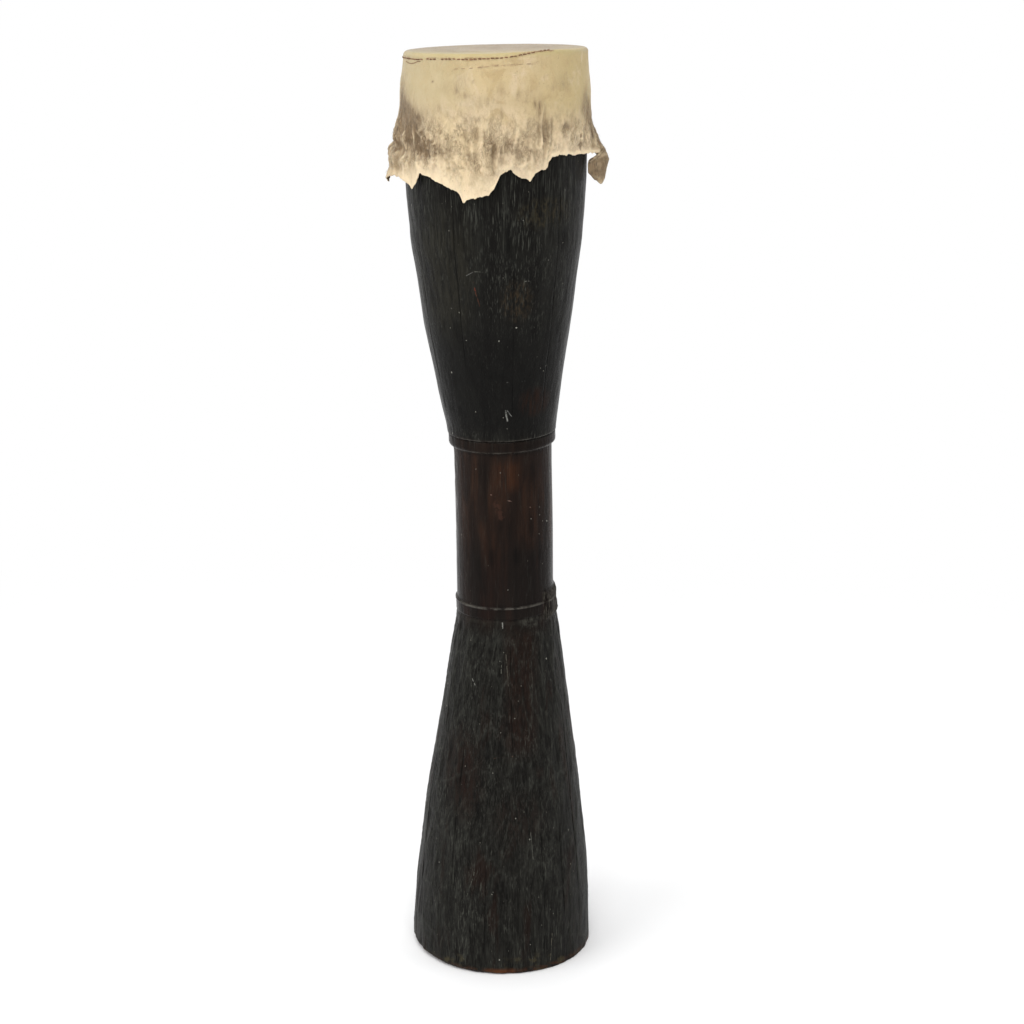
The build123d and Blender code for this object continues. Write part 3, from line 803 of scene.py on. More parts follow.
    # bruised foot: orange-brown bare wood at the front, tan-green dirt beside it
    low = m.fall(z, over=(0.0035, 0.0085))
    front = m.fall(abs(x + 0.001), over=(0.012, 0.022)) * m.fall(y, over=(-0.06, -0.04))
    bruise = m.rise(m.noise((120, 120, 300)), over=(0.40, 0.58))
    m.paint(low * m.maximum(front, bruise * 0.35) * 0.9, (0.100, 0.036, 0.014))
    tan = m.fall(z, over=(0.008, 0.03)) * m.rise(
        m.noise((70, 70, 90), detail=4.0, shift=(5, 5, 5)), over=(0.54, 0.70))
    m.paint(tan * 0.55, (0.070, 0.058, 0.030))
    # checks, gouges, dents and grain furrows are painted near black
    m.paint(m.attr("cavity") * 0.80, (0.0018, 0.0016, 0.0015))
    paint_wood_dust(m, waist, dusty=m.maximum(bell, bowl * top))
    paint_scratches(m)
    # the bore was never finished: brown, fibrous, dusty
    bore_fibre = m.noise((180, 180, 22), detail=4.0, distort=0.2)
    bore_color = m.mix(m.rise(bore_fibre, over=(0.35, 0.68)),
                       (0.030, 0.017, 0.010), (0.105, 0.066, 0.038))
    # darker further up the bore, away from its open foot: painted shade
    bore_color = m.mix(m.rise(z, over=(0.10, 0.42)) * 0.5, bore_color, (0.012, 0.008, 0.006))
    m.paint(m.attr("inside"), bore_color)
    # sheen: rubbed smooth at the waist and bowl, dry on the bell
    rough = bell * 0.14 + (0.275 - waist * 0.03) + (mid - 0.5) * 0.22 + streak * 0.18
    rough = rough + m.maximum(m.attr("inside"), m.attr("lug")) * 0.35
    rough = m.minimum(m.maximum(rough, 0.20), 0.95)
    # relief under the mesh's own: grain ridges and pores
    relief = fine * 0.9 + mid * 1.3 + flecks * 0.35 - m.rise(fine, over=(0.44, 0.36)) * 0.5
    relief = relief * (0.22 + bell * 0.75 + bowl * top * 0.45)
    return m.finish(rough, relief, strength=0.55, distance=0.0011, specular=0.047)


body = make_object(
    "drum_body_carved", body_grid,
    [ring_faces(body_rows, columns), bridge((body_rows - 1) * columns, 0, columns)],
    wood_material(), wood_attrs)
mount(body, replaced="drum_body")

# ------------------------------------------------------------------ the rawhide: its outline
# one sheet lapped over the rim
# height in mm, radius of the wood under the hide in mm
SEAT = np.array([(850, 93.5), (900, 95.5), (926, 96.2), (957, 96.1), (968, 95.1), (978, 93.7),
                 (988, 92.8), (1015, 91.6)]) / 1000
GLUE_GAP = 0.0008
LAP_RADIUS = 0.0885  # where the lapped hide ends and the struck part begins
ROUND = 0.0040  # radius of the turn over the rim
HIDE_COLUMNS = 540
TIGHT_END = 0.932  # height where the rows change from the tight to the shrunken part
# lower edge of the skirt all round: angle, height in mm
EDGE = np.array([
    (-180, 877), (-170, 866), (-160, 862), (-150, 870), (-141, 884), (-133, 879), (-124, 868),
    (-116, 872), (-108, 884), (-101, 876), (-95, 867.5), (-87, 864.5), (-80, 869.5), (-74, 874),
    (-68.4, 872.8), (-62, 868), (-57.3, 862.5), (-53, 871), (-49.8, 881.8), (-44, 878.8),
    (-38, 875.5), (-32.4, 872.4), (-27, 868.5), (-22.6, 864.5), (-20.8, 859), (-19.5, 854.3),
    (-18.3, 856.0), (-16.5, 858.6), (-11, 860), (-4.7, 862.6), (-1.5, 868), (0.5, 876.7),
    (2.2, 883.6), (5, 887), (8.5, 889.5), (11, 885), (13.8, 881.3), (17.5, 878.6), (21, 877.4),
    (23, 881), (24.7, 885.0), (28, 886.6), (32.0, 888.0), (32.9, 894.5), (34.7, 899.7),
    (42, 900.4), (55, 898.8), (62, 897.4), (73.4, 895.6), (84, 895.2), (86.0, 892.5), (86.7, 884),
    (87.4, 876), (88.6, 872.5), (90.2, 866.5), (92.0, 862.5), (95, 862.5), (99.5, 869),
    (101.5, 883), (103.0, 892), (110, 896.5), (118, 893), (128, 890), (136, 884), (144, 868),
    (152, 862), (162, 870), (172, 883), (180, 877)], float)
# how far the free skirt stands off: angle, mm
FLARE = [
    (-180, 6.0), (-150, 5.0), (-120, 9.0), (-100, 15.0), (-86, 16.0), (-70, 7.5), (-55, 4.0),
    (-30, 3.0), (0, 2.6), (30, 2.6), (55, 2.2), (70, 4.0), (82, 12.0), (90, 18.8), (108, 14.0),
    (140, 5.0), (180, 6.0)]
# share of the flare: height in mm, share
SHARE_FRONT = [(850, 1.0), (870, 0.95), (888, 0.62), (905, 0.2), (918, 0.0)]
SHARE_LEFT = [(850, 1.0), (865, 1.0), (886, 0.92), (893, 0.80), (901, 0.52), (920, 0.30),
              (932, 0.09), (942, 0.0)]
SHARE_RIGHT = [(850, 0.75), (861, 0.82), (875, 0.92), (886, 1.0), (899, 0.60), (916, 0.17),
               (926, 0.0)]


def seat(z):
    return table(SEAT, z)


# columns lie closer together where the torn edge runs steeply
fine_angle = np.linspace(-180, 180, 7201)
steepness = np.abs(np.gradient(table(EDGE, fine_angle), fine_angle))
travel = np.concatenate([[0], np.cumsum(1.7 + np.minimum(0.42 * steepness, 5.5))[:-1]])
hide_angle = np.interp(np.linspace(0, travel[-1], HIDE_COLUMNS, endpoint=False),
                       travel, fine_angle)
hide_sin, hide_cos = np.sin(np.radians(hide_angle)), np.cos(np.radians(hide_angle))
ragged = (1.5 * noise((hide_sin * 16, -hide_cos * 16, 1.5), seed=201)
          + 0.8 * noise((hide_sin, -hide_cos, 0.0), 44, seed=202)
          + 0.45 * noise((hide_sin, -hide_cos, 0.0), 110, seed=203))
edge_z = (table(EDGE, hide_angle) + ragged * (1 - 0.5 * gauss(wrap(hide_angle + 19.5), 3))) / 1000
lift = 0.0016 * gauss(wrap(hide_angle - 36), 24)  # the rim stands proud at the front right


def head_at(at_radius):
    return head_z(lean(HEAD_AXIS_Z) + at_radius * hide_sin, -at_radius * hide_cos)


# radius and height of each row, from the lap over the rim and down to the torn edge
turn_radius = seat(0.9945) + GLUE_GAP + HIDE_THICKNESS - ROUND
rows = []
for t in (0.0, 0.5, 1.0):
    lap_radius = LAP_RADIUS + (turn_radius - LAP_RADIUS) * t
    rows.append((np.full(HIDE_COLUMNS, lap_radius), head_at(lap_radius) + lift * (0.35 + 0.65 * t)))
for degrees in (15, 30, 45, 60, 75, 90):
    sine, cosine = math.sin(math.radians(degrees)), math.cos(math.radians(degrees))
    rows.append((np.full(HIDE_COLUMNS, turn_radius + ROUND * sine),
                 head_at(turn_radius) + lift * (0.4 + 0.6 * cosine) - ROUND * (1 - cosine)))
shoulder = rows[-1][1]
for count, start_z, end_z in ((36, shoulder, TIGHT_END), (66, TIGHT_END, edge_z)):
    for t in np.linspace(0, 1, count + 1)[1:]:
        row_z = start_z + (end_z - start_z) * t
        rows.append((seat(row_z) + GLUE_GAP + HIDE_THICKNESS, row_z))
hide_radius = np.array([row[0] for row in rows])
level = np.array([row[1] for row in rows])  # height of each grid point
level_mm = level * 1000
bearing = np.tile(hide_angle, (len(level), 1))  # angle of each grid point
side = smooth(0.0, 0.006, shoulder[None, :] - level + 0.0035)  # 0 on top, 1 on the side wall
to_edge = level - edge_z[None, :]  # distance above the torn edge


def edge_band(at, width):
    """Band along the torn edge; its half width is in mm."""
    return gauss((to_edge - at) * 1000, width)


def edge_fade(length):
    return np.exp(-np.clip(to_edge, 0, 1) / length)


on_left = smooth(-56, -78, bearing) * smooth(-150, -118, bearing)
on_right = smooth(72, 84, bearing) * smooth(150, 124, bearing)
on_front = np.clip(1 - on_left - on_right, 0, 1)
share = (on_left * table(SHARE_LEFT, level_mm) + on_right * table(SHARE_RIGHT, level_mm)
         + on_front * table(SHARE_FRONT, level_mm))
flare = table(FLARE, bearing) * share

# ------------------------------------------------------------------ hide relief, outward in mm
X, Y = 0.097 * np.sin(np.radians(bearing)), -0.097 * np.cos(np.radians(bearing))
hide_place = (X, Y, level)
low = smooth(0.956, 0.912, level) * (0.38 + 0.62 * smooth(0.872, 0.890, level))
free = smooth(0.918, 0.896, level)
shift_xy = 0.010 * noise(hide_place, (30, 30, 18), seed=211)
shift_z = 0.016 * noise(hide_place, 26, seed=212)
tugged = (X + shift_xy, Y + shift_xy, level + shift_z)
broad = (0.42 * fractal(hide_place, (20, 20, 24), octaves=3, seed=213)
         + 0.16 * fractal(hide_place, (70, 70, 60), octaves=3, seed=214))
pleat = ridges(tugged, (58, 58, 11), octaves=3, seed=215)
small_pleat = ridges(((X + shift_xy) * 120 + 5, (Y - shift_xy) * 120, (level + shift_z) * 30),
                     1, octaves=2, seed=216)
crumple = fractal(tugged, 85, octaves=4, seed=217, gain=0.58)
bulge = fractal(hide_place, (34, 34, 16), octaves=2, seed=218)
tiny = ridges(tugged, (210, 210, 120), octaves=2, seed=220)
relief = (broad + low * (1.05 * pleat + 0.75 * np.clip(small_pleat, 0, 1) + 0.35 * tiny)
          + low**1.3 * 1.25 * crumple)
relief += free * (3.4 * bulge + (0.3 + 0.7 * low) * (0.9 * pleat + 1.2 * crumple))

# deep folds that rise from the skirt:
# angle, drift in degrees, from height, to height, width in degrees, relief in mm
FOLDS = [
    (27.0, 2.0, 0.903, 0.962, 0.8, 1.5), (29.6, 1.5, 0.896, 0.957, 0.7, -1.0),
    (31.8, 2.6, 0.900, 0.948, 0.9, 1.5), (24.6, -1.0, 0.892, 0.930, 0.8, -0.8),
    (22.2, -2.0, 0.884, 0.925, 1.1, 1.3), (-2.2, 2.5, 0.872, 0.928, 1.1, -1.5),
    (1.4, 2.0, 0.886, 0.922, 0.9, 1.4), (4.6, 3.0, 0.890, 0.930, 1.2, -1.1),
    (8.5, 6.0, 0.893, 0.936, 1.4, 1.0), (-8.0, -2.0, 0.868, 0.905, 1.8, 1.3),
    (-38.0, -4.0, 0.886, 0.928, 1.5, 1.0), (-44.0, -4.0, 0.884, 0.932, 1.3, -1.1),
    (-51.0, -6.0, 0.880, 0.930, 1.6, 1.5), (-58.0, -3.0, 0.868, 0.928, 1.8, -1.4),
    (-64.0, -3.0, 0.872, 0.935, 2.0, 1.8), (-71.0, -2.0, 0.872, 0.945, 1.8, -1.5),
    (-79.0, 1.0, 0.868, 0.940, 2.2, 1.7), (62.0, 4.0, 0.900, 0.940, 1.4, 1.1),
    (67.0, 4.0, 0.900, 0.950, 1.5, -1.0), (74.0, 3.0, 0.898, 0.962, 1.8, 1.2),
    (80.0, 2.0, 0.896, 0.950, 1.6, -1.2), (52.0, 3.0, 0.899, 0.930, 1.5, 0.8),
    (43.0, 2.0, 0.900, 0.925, 1.6, -0.7), (96.0, 0.0, 0.862, 0.935, 2.5, 1.6),
    (106.0, 2.0, 0.866, 0.930, 2.0, -1.6), (117.0, -2.0, 0.872, 0.935, 2.5, 1.8),
    (133.0, 3.0, 0.880, 0.945, 2.0, 1.4), (147.0, 2.0, 0.865, 0.93, 2.2, -1.4),
    (163.0, -3.0, 0.866, 0.94, 2.0, 1.6), (-170.0, 3.0, 0.866, 0.93, 2.4, -1.3),
    (-152.0, -3.0, 0.866, 0.95, 2.0, 1.6), (-133.0, 2.0, 0.875, 0.94, 2.0, 1.3),
    (-121.0, 2.0, 0.87, 0.93, 2.0, -1.4), (-104.0, -1.0, 0.872, 0.94, 2.4, 1.6)]
# crease gathers the darkening painted into fold troughs, beside raised folds, in wrinkles and round
# the pegs: part dirt, part painted shade
crease = np.zeros_like(relief)
for at, drift, from_z, to_z, width, size in FOLDS:
    t = np.clip((level - from_z) / (to_z - from_z), 0, 1)
    middle = at + drift * t + 0.8 * noise((level * 60 + at, 0.0, 0.0), seed=219)
    window = smooth(from_z - 0.004, from_z + 0.008, level) * smooth(to_z, to_z - 0.022, level)
    fold = gauss(wrap(bearing - middle), width * (1.15 - 0.4 * t))
    relief += size * fold * window
    crease += (0.9 if size < 0 else -0.25) * fold * window * abs(size)
    if size > 0:
        for sign in (-1, 1):
            flank = gauss(wrap(bearing - middle - sign * 1.7 * width), width * 0.6)
            crease += 0.35 * flank * window * size

# shallow slanting wrinkles on the tight part
WRINKLES = 46
for _ in range(WRINKLES):
    at, at_z = rng.uniform(-180, 180), rng.uniform(0.905, 0.968)
    slant, length = rng.uniform(-0.9, 0.9), rng.uniform(0.006, 0.020)
    width, size = rng.uniform(0.5, 0.9), rng.uniform(0.2, 0.55)
    t = (level - at_z) / length
    middle = at + slant * 60 * (level - at_z) / 0.097 * 0.6 + 1.2 * np.sin(t * 2.2)
    relief += size * (gauss(wrap(bearing - middle), width) * gauss(t, 0.8))
    crease += 0.5 * size * (gauss(wrap(bearing - middle - 1.1), 0.5) * gauss(t, 0.8))

# the hide puckers round each peg
PEG_ANGLES = [-92, -46, -3, 30, 62, 98, 141, 184 - 360, 226 - 360]
PEG_HEIGHT = sum(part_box("hide_pegs")[i][2] for i in (0, 1)) / 2
for at in PEG_ANGLES:
    across = np.radians(wrap(bearing - at)) * 97.0
    above = (level - PEG_HEIGHT) * 1000
    away = np.hypot(across, above)
    star = np.cos(np.arctan2(above, across) * 5 + at + 1.3 * noise(hide_place, 60, seed=221))
    relief += (gauss(away - 3.6, 1.6) * 0.40 - gauss(away, 2.6) * 0.7
               + 0.26 * gauss(away - 7, 4.5) * star)
    crease += 0.45 * gauss(away, 2.4) + 0.12 * gauss(away - 6, 3) * np.clip(-star, 0, 1)

# the torn edge curls outward here and there, and thins; the right part has a hem
curl = np.clip(noise((X * 48, Y * 48, 3.0), seed=231) + 0.15, 0, 1)
relief += edge_fade(0.0042) * (2.8 * curl - 0.7)
hem = smooth(33, 38, bearing) * smooth(88, 82, bearing)
relief += hem * (2.2 * edge_band(0.0012, 1.7) - 0.5 * edge_band(0.0052, 1.4))
# the left flap is crimped across
crimp = on_left * smooth(0.930, 0.905, level)
relief += crimp * (
    1.8 * np.sin((level - 0.864) / 0.0215 * 2 * math.pi + 1.2 + 0.02 * bearing) + 1.2 * pleat)
# the front tongues, the hem and the tight part are smoother
lobe = smooth(0.890, 0.879, level) * on_front
relief *= 1 - 0.60 * lobe
relief *= 1 - 0.55 * hem * edge_band(0.002, 4.5)
relief = relief * side
relief = np.where(relief < 0, relief * (1 - 0.75 * (1 - free)), relief)

# ------------------------------------------------------------------ the hide as a closed sheet
skirt_radius = hide_radius + (flare + relief) / 1000 * np.where(side > 0, 1, 0)
# the lower front corner of the right flap swings forward and in, leaving a gap under the hem
drop = smooth(0.8965, 0.8855, level)
wing = smooth(93.5, 87.2, bearing) * (bearing > 80) * drop
skirt_radius = skirt_radius - wing * np.clip(skirt_radius - (seat(level) + 0.0034), 0, None)
swing = smooth(98.0, 87.0, bearing) * smooth(79.0, 85.0, bearing) * drop
sheet = ring_point(bearing - 10.5 * swing, skirt_radius, level)
sheet[..., 2] += (1 - side) * (0.10 * fractal(hide_place, 60, octaves=3, seed=235)) / 1000
# folds also tug the sheet sideways and down a little
tug = free * 1.5 / 1000
sheet[..., 0] += tug * noise(hide_place, 50, seed=241)
sheet[..., 2] += (tug * noise((X * 50 + 9, Y * 50, level * 50), seed=242)
                  * smooth(0.0, 0.004, to_edge))


def outward_normals(grid):
    """Unit normals of a (rows, closed columns) grid."""
    across = np.roll(grid, -1, 1) - np.roll(grid, 1, 1)
    normals = np.cross(np.gradient(grid, axis=0), across)
    normals /= np.maximum(np.linalg.norm(normals, axis=-1, keepdims=True), 1e-12)
    # one row of the side wall tells which way they point
    inward = (normals[60] * grid[60])[..., :2].sum() < 0
    return -normals if inward else normals


def keep_outside(points, clearance, below):
    """Pushes points under a height out to a clearance from the wood."""
    centre = lean(points[..., 2])
    reach = np.hypot(points[..., 0] - centre, points[..., 1])
    least = seat(points[..., 2]) + clearance
    push = np.where(points[..., 2] < below,
                    np.maximum(least / np.maximum(reach, 1e-9), 1.0), 1.0)
    points[..., 0] = centre + (points[..., 0] - centre) * push
    points[..., 1] *= push


hide_normal = outward_normals(sheet)
thickness = (HIDE_THICKNESS * (1 - 0.35 * edge_fade(0.003))
             * (1 + 0.12 * noise(hide_place, 60, seed=243)))
thickness[:9] = HIDE_THICKNESS
inner_sheet = sheet - hide_normal * thickness[..., None]
# the inner face never enters the glue or the wood, and the outer keeps a thin skin outside it
keep_outside(inner_sheet, GLUE_GAP - 0.00004, below=shoulder[None, :])
keep_outside(sheet, GLUE_GAP + 0.0010, below=shoulder[None, :] - 0.002)
lip_row = (sheet[-1] + inner_sheet[-1]) / 2
lip_row[:, 2] -= 0.0004
hide_grid = np.concatenate([sheet, lip_row[None], inner_sheet[::-1]], 0)
hide_rows = len(hide_grid)

# ------------------------------------------------------------------ dirt, painted shade and color of the hide
# angle, height in mm, half width in degrees, half height in mm, strength
STAINS = [
    (-0.5, 906, 2.1, 16, 0.72), (3.5, 900, 1.5, 12, 0.58), (8, 914, 2.5, 8, 0.55),
    (-14, 900, 3, 5, 0.4), (-47, 906, 10, 9, 2.6), (-44, 903, 4, 4, 1.2), (-55, 918, 9, 9, 1.0),
    (-64, 931, 12, 13, 1.1), (-62, 935, 13, 9, 0.7), (-72, 936, 10, 20, 1.0),
    # the entries at 89 and 82 degrees are painted shade: the shaded right flap, and the dark crease
    # where the flap leaves the drum
    (-70, 908, 9, 14, 0.6), (89, 875, 4.5, 13, 1.1), (82, 914, 1.2, 4, 1.3),
    (-23, 966, 1.6, 5, 0.34), (-17.5, 961, 3.0, 2.5, 0.32), (24, 953, 1.2, 4, 0.38),
    (27, 951, 0.8, 5, 0.38), (45, 972, 6, 7, 0.26), (-40, 973, 0.8, 1.0, 0.9),
    (-13, 975, 0.7, 0.9, 0.8), (36, 968, 1.5, 3, 0.2), (-9, 938, 4, 2.5, 0.34),
    (33, 932, 2.5, 4, 0.36), (4, 944, 0.8, 5, 0.36), (-34, 948, 3, 4, 0.22), (14, 962, 2, 5, 0.22),
    (-80, 914, 6, 22, 0.7), (-76, 960, 7, 18, 0.5), (-12, 922, 6, 5, 0.30), (30, 925, 3.5, 12, 0.5),
    (27, 942, 3, 16, 0.35), (46, 928, 5, 4, 0.75), (62, 905, 1.3, 5, 1.5), (62, 907, 4, 2.0, 0.9),
    (66, 940, 5, 16, 0.45), (76, 932, 5, 18, 0.85), (70, 950, 4, 10, 0.4), (-30, 905, 5, 8, 0.35),
    (12, 905, 4, 8, 0.45), (20, 915, 3, 14, 0.40), (-20, 940, 9, 9, 0.18), (-8, 955, 14, 7, 0.22),
    (18, 960, 6, 10, 0.18), (88, 925, 6, 30, 0.8), (100, 905, 8, 24, 0.75), (112, 885, 8, 14, 0.6),
    (125, 930, 9, 20, 0.6), (150, 915, 10, 18, 0.7), (172, 935, 9, 16, 0.5),
    (-165, 912, 9, 18, 0.7), (-140, 925, 9, 20, 0.6), (-120, 905, 9, 20, 0.8),
    (-105, 930, 8, 18, 0.6), (-93, 900, 7, 20, 0.9), (-30, 968, 5, 8, 0.12),
    (-20, 972, 4, 10, 0.30), (4, 966, 3, 7, 0.22)]
# the two rows of stitches: angle, height in mm
UPPER_ROW = [
    (-118, 989.5), (-92, 990.9), (-75, 992), (-56, 993.1), (-44, 994.9), (-34, 995.7),
    (-24, 996.3), (-14.5, 996.7), (-7, 997.3), (0, 997.9), (6.6, 998.7), (12, 999.7),
    (17.4, 1001.2), (21, 1002.2), (25, 1003.0), (29, 1003.7), (33, 1004.3), (37, 1004.9),
    (39, 1005.2)]
FAINT_ROW = [(-26, 986.6), (-14.6, 987.9), (-2.7, 990.1), (6, 991.1), (15, 991.8), (22, 992)]

stain_and_shade = np.zeros_like(level)
for at, at_mm, half_width, half_height, strength in STAINS:
    across = wrap(bearing - at) / half_width
    stain_and_shade += strength * np.exp(-(across**2) - ((level_mm - at_mm) / half_height) ** 2)
# the troughs of the pleats and the free skirt are painted a little darker
stain_and_shade += (low * 0.14 * np.clip(-pleat, 0, 1) + free * 0.05) * (1 - 0.8 * lobe)
# the skin between the left stain and the middle one, and on the tongues, stayed clean
calm = np.clip(gauss(bearing + 27, 13) * gauss((level - 0.896) * 1000, 17) + 0.9 * lobe
               + 0.8 * gauss(bearing - 16, 9) * gauss((level - 0.884) * 1000, 12), 0, 1)
stain_and_shade = np.clip(stain_and_shade, 0, 1.4) * side * (1 - 0.45 * calm)


def stands_out(step):
    """Relief against its surroundings a few grid steps away; below zero in hollows."""
    around = (np.roll(relief, step, 1) + np.roll(relief, -step, 1)
              + np.roll(relief, step, 0) + np.roll(relief, -step, 0))
    out = relief - 0.25 * around
    out[:6] = 0
    out[-3:] = 0
    return out


# hollows of the relief are painted darker: part dirt, part painted shade
wide_relief, close_relief = stands_out(3), stands_out(1)
hollow = np.clip(-wide_relief * 1.5, 0, 1) + np.clip(-close_relief * 3.0, 0, 0.8)
crease = (np.clip(crease, 0, 2) * 0.7 * (1 - 0.6 * lobe)
          + (1 - 0.7 * lobe) * hollow * (0.25 + 0.75 * low))
crease *= 1 - 0.65 * calm
# raised places of the relief are painted paler: a painted highlight
ridge_highlight = np.clip(wide_relief * 1.1, 0, 1) * (0.3 + 0.7 * low) * (1 - 0.4 * calm)
# the torn edge and the hem are painted paler: partly the skin's own pallor, partly a painted
# highlight on the curl and the rolled hem
pale_edge = edge_fade(0.015) * (on_front + 0.3) + hem * edge_band(0.001, 2.2)

# rust-brown marks along the stitches
stitch_mm = np.minimum(table(UPPER_ROW, bearing), level[4][None, :] * 1000)
on_row = smooth(-124, -112, bearing) * smooth(41, 36, bearing)
patchy = np.clip(0.35 + 1.5 * noise((X * 110, Y * 110, 2.0), seed=261), 0, 1)
rust = gauss(level_mm - stitch_mm - 0.3, 1.15) * on_row * patchy
rust += (0.5 * gauss(level_mm - table(FAINT_ROW, bearing), 0.9)
         * smooth(-30, -24, bearing) * smooth(25, 20, bearing)
         * np.clip(0.5 + 1.5 * noise((X, Y, 0.0), 150, seed=262), 0, 1))
for from_angle, to_angle in ((-160, -122), (158, 175)):
    rust += (0.75 * smooth(from_angle, from_angle + 3, bearing)
             * smooth(to_angle, to_angle - 3, bearing)
             * gauss(np.arange(len(level))[:, None] - 4.0, 1.6) * patchy)
rust += (0.30 * np.clip(noise(hide_place, 180, seed=263) - 0.35, 0, 1)
         * gauss(level_mm - stitch_mm, 5) * on_row)


def both_faces(values, inner_fill=None):
    """Values for the outer face, the lip and the inner face."""
    inner = values[::-1] if inner_fill is None else np.full_like(values, inner_fill)
    return np.concatenate([values, values[-1:], inner], 0)


hide_attrs = {
    "stain_and_shade": both_faces(stain_and_shade), "crease": both_faces(np.clip(crease, 0, 1.5)),
    "low": both_faces(low), "ridge_highlight": both_faces(ridge_highlight), "rust": both_faces(rust),
    "pale": both_faces(pale_edge), "calm": both_faces(calm),
    "flesh": both_faces(np.zeros_like(level), 1.0), "top": both_faces(1 - side)}


def wrinkle_net(m, fine_calm):
    """A net of thin dark wrinkle lines, dense in the shrunken band."""
    net = m.noise((230, 230, 72), rough=0.62, distort=1.4, shift=(1, 5, 3))
    large = m.fall(abs(net - 0.5), over=(0.005, 0.030))
    net = m.noise((520, 520, 210), detail=2.0, distort=1.6, shift=(6, 2, 3))
    small = m.fall(abs(net - 0.5), over=(0.006, 0.040))
    part = m.rise(m.noise((75, 75, 60), shift=(2, 7, 7)), over=(0.42, 0.54))
    return m.maximum(large, small * 0.8) * (m.attr("low") * (part * fine_calm))


def hide_material():
    m = Shader("rawhide")
    x, y, z = m.split(m.place)
    big = m.noise(13, rough=0.5, distort=0.4, shift=(0.3, 0.1, 0.7))
    mid = m.noise((46, 46, 34), detail=4.0, distort=0.6)
    fine = m.noise((210, 210, 170), detail=4.0, rough=0.65, distort=0.3)
    grain = m.noise(900, detail=2.0)
    streak = m.noise((260, 260, 84), detail=4.0, rough=0.68, distort=1.1)
    hair = m.noise((560, 560, 110), distort=0.8, shift=(4, 1, 2))

    def paint_where(name, value, over, amount, color):
        m.paint(m.attr(name) * (m.rise(value, over) * amount), color)

    # warm cream, drifting to ochre on the right and to grey on the left
    m.color = m.mix(m.rise(big, over=(0.36, 0.64)), (0.512, 0.394, 0.216), (0.560, 0.440, 0.268))
    for value, over, amount, color in (
            (x, (0.020, 0.075), 0.75, (0.448, 0.348, 0.160)),
            (x, (-0.035, -0.088), 0.60, (0.416, 0.340, 0.216)),
            (mid, (0.50, 0.66), 0.74, (0.420, 0.308, 0.150)),
            (mid, (0.46, 0.30), 0.50, (0.620, 0.500, 0.345)),
            (fine, (0.54, 0.70), 0.46, (0.390, 0.296, 0.168))):
        m.paint(m.rise(value, over) * amount, color)
    # lower part and tongues: paler, pinker, streaked
    paint_where("low", fine, (0.52, 0.68), 0.30, (0.330, 0.225, 0.115))
    paint_where("low", fine, (0.44, 0.32), 0.35, (0.650, 0.520, 0.350))
    m.paint(m.attr("pale") * 0.60, (0.660, 0.520, 0.345))
    paint_where("low", streak, (0.54, 0.70), 0.30, (0.340, 0.236, 0.120))
    paint_where("low", streak, (0.46, 0.34), 0.35, (0.632, 0.520, 0.360))
    grit = m.noise((620, 620, 380), rough=0.65, distort=0.8, shift=(3, 8, 1))
    restless = m.rest(m.attr("calm") * 0.72)
    wrinkled = (m.attr("low") * 0.70 + 0.20) * restless
    m.paint(wrinkled * (m.rise(grit, over=(0.58, 0.66)) * 0.75), (0.230, 0.150, 0.075))
    m.paint(wrinkled * (m.rise(grit, over=(0.42, 0.34)) * 0.45), (0.640, 0.520, 0.360))
    lines = wrinkle_net(m, m.rest(m.attr("pale") * 0.65))
    m.paint(m.attr("pale") * m.rise(fine, over=(0.66, 0.44)) * 0.75, (0.700, 0.560, 0.380))
    # thinner, greyer skin at the upper left
    upper_left = m.rise(x, over=(-0.010, -0.060)) * m.rise(z, over=(0.940, 0.965))
    m.paint(upper_left * 0.66, (0.422, 0.342, 0.190))
    # the struck face is greyer, and painted darker towards the back as shade
    face_tone_and_shade = m.mix(m.rise(y, over=(-0.085, 0.045)), (0.446, 0.368, 0.172), (0.322, 0.266, 0.212))
    m.paint(m.attr("top") * 0.72, face_tone_and_shade)
    m.paint(m.attr("low") * 0.36, (0.760, 0.600, 0.390))
    # stains, with the painted shade of the right flap, follow the hair and the grain of the skin
    stain_and_shade = m.attr("stain_and_shade")
    soaked = (stain_and_shade * m.rise(mid, over=(0.16, 0.58))
              + stain_and_shade * (m.rise(streak, over=(0.40, 0.62)) * 0.9))
    m.paint(m.minimum(soaked, 1.0) * 0.90, (0.172, 0.116, 0.063))
    deep = m.rise(stain_and_shade, over=(0.45, 1.0)) * m.rise(hair, over=(0.50, 0.64))
    m.paint(deep * 0.85, (0.080, 0.053, 0.032))
    # creases and hollows painted darker: part dirt, part painted shade
    m.paint(m.minimum(m.attr("crease"), 1.0) * 0.44, (0.215, 0.142, 0.070))
    # painted highlight on the raised places of the relief
    m.paint(m.attr("ridge_highlight") * 0.60, (0.760, 0.610, 0.400))
    # paler along the torn edge: partly the skin's pallor, partly a painted highlight
    edge_pallor_and_highlight = (m.attr("pale") * m.rest(stain_and_shade * 0.8)
             * m.ramp(fine, over=(0.72, 0.40), to=(0.60, 1.0)))
    m.paint(edge_pallor_and_highlight * 0.70, (0.770, 0.620, 0.415))
    m.paint(lines * restless * 0.80, (0.185, 0.112, 0.052))
    rust = m.attr("rust") * m.rise(m.noise(700), over=(0.36, 0.60))
    m.paint(m.minimum(rust, 0.85), (0.150, 0.060, 0.030))
    # hair roots and fly specks
    distance, pick = m.dots((340, 340, 300))
    dots = m.fall(distance, over=(0.06, 0.20)) * m.rise(pick[0], over=(0.86, 0.92))
    m.paint(dots * 0.55, (0.168, 0.104, 0.056))
    # flesh side: rough, brown and dusty
    inner = m.mix(m.rise(streak, over=(0.38, 0.66)), (0.200, 0.140, 0.080), (0.420, 0.320, 0.190))
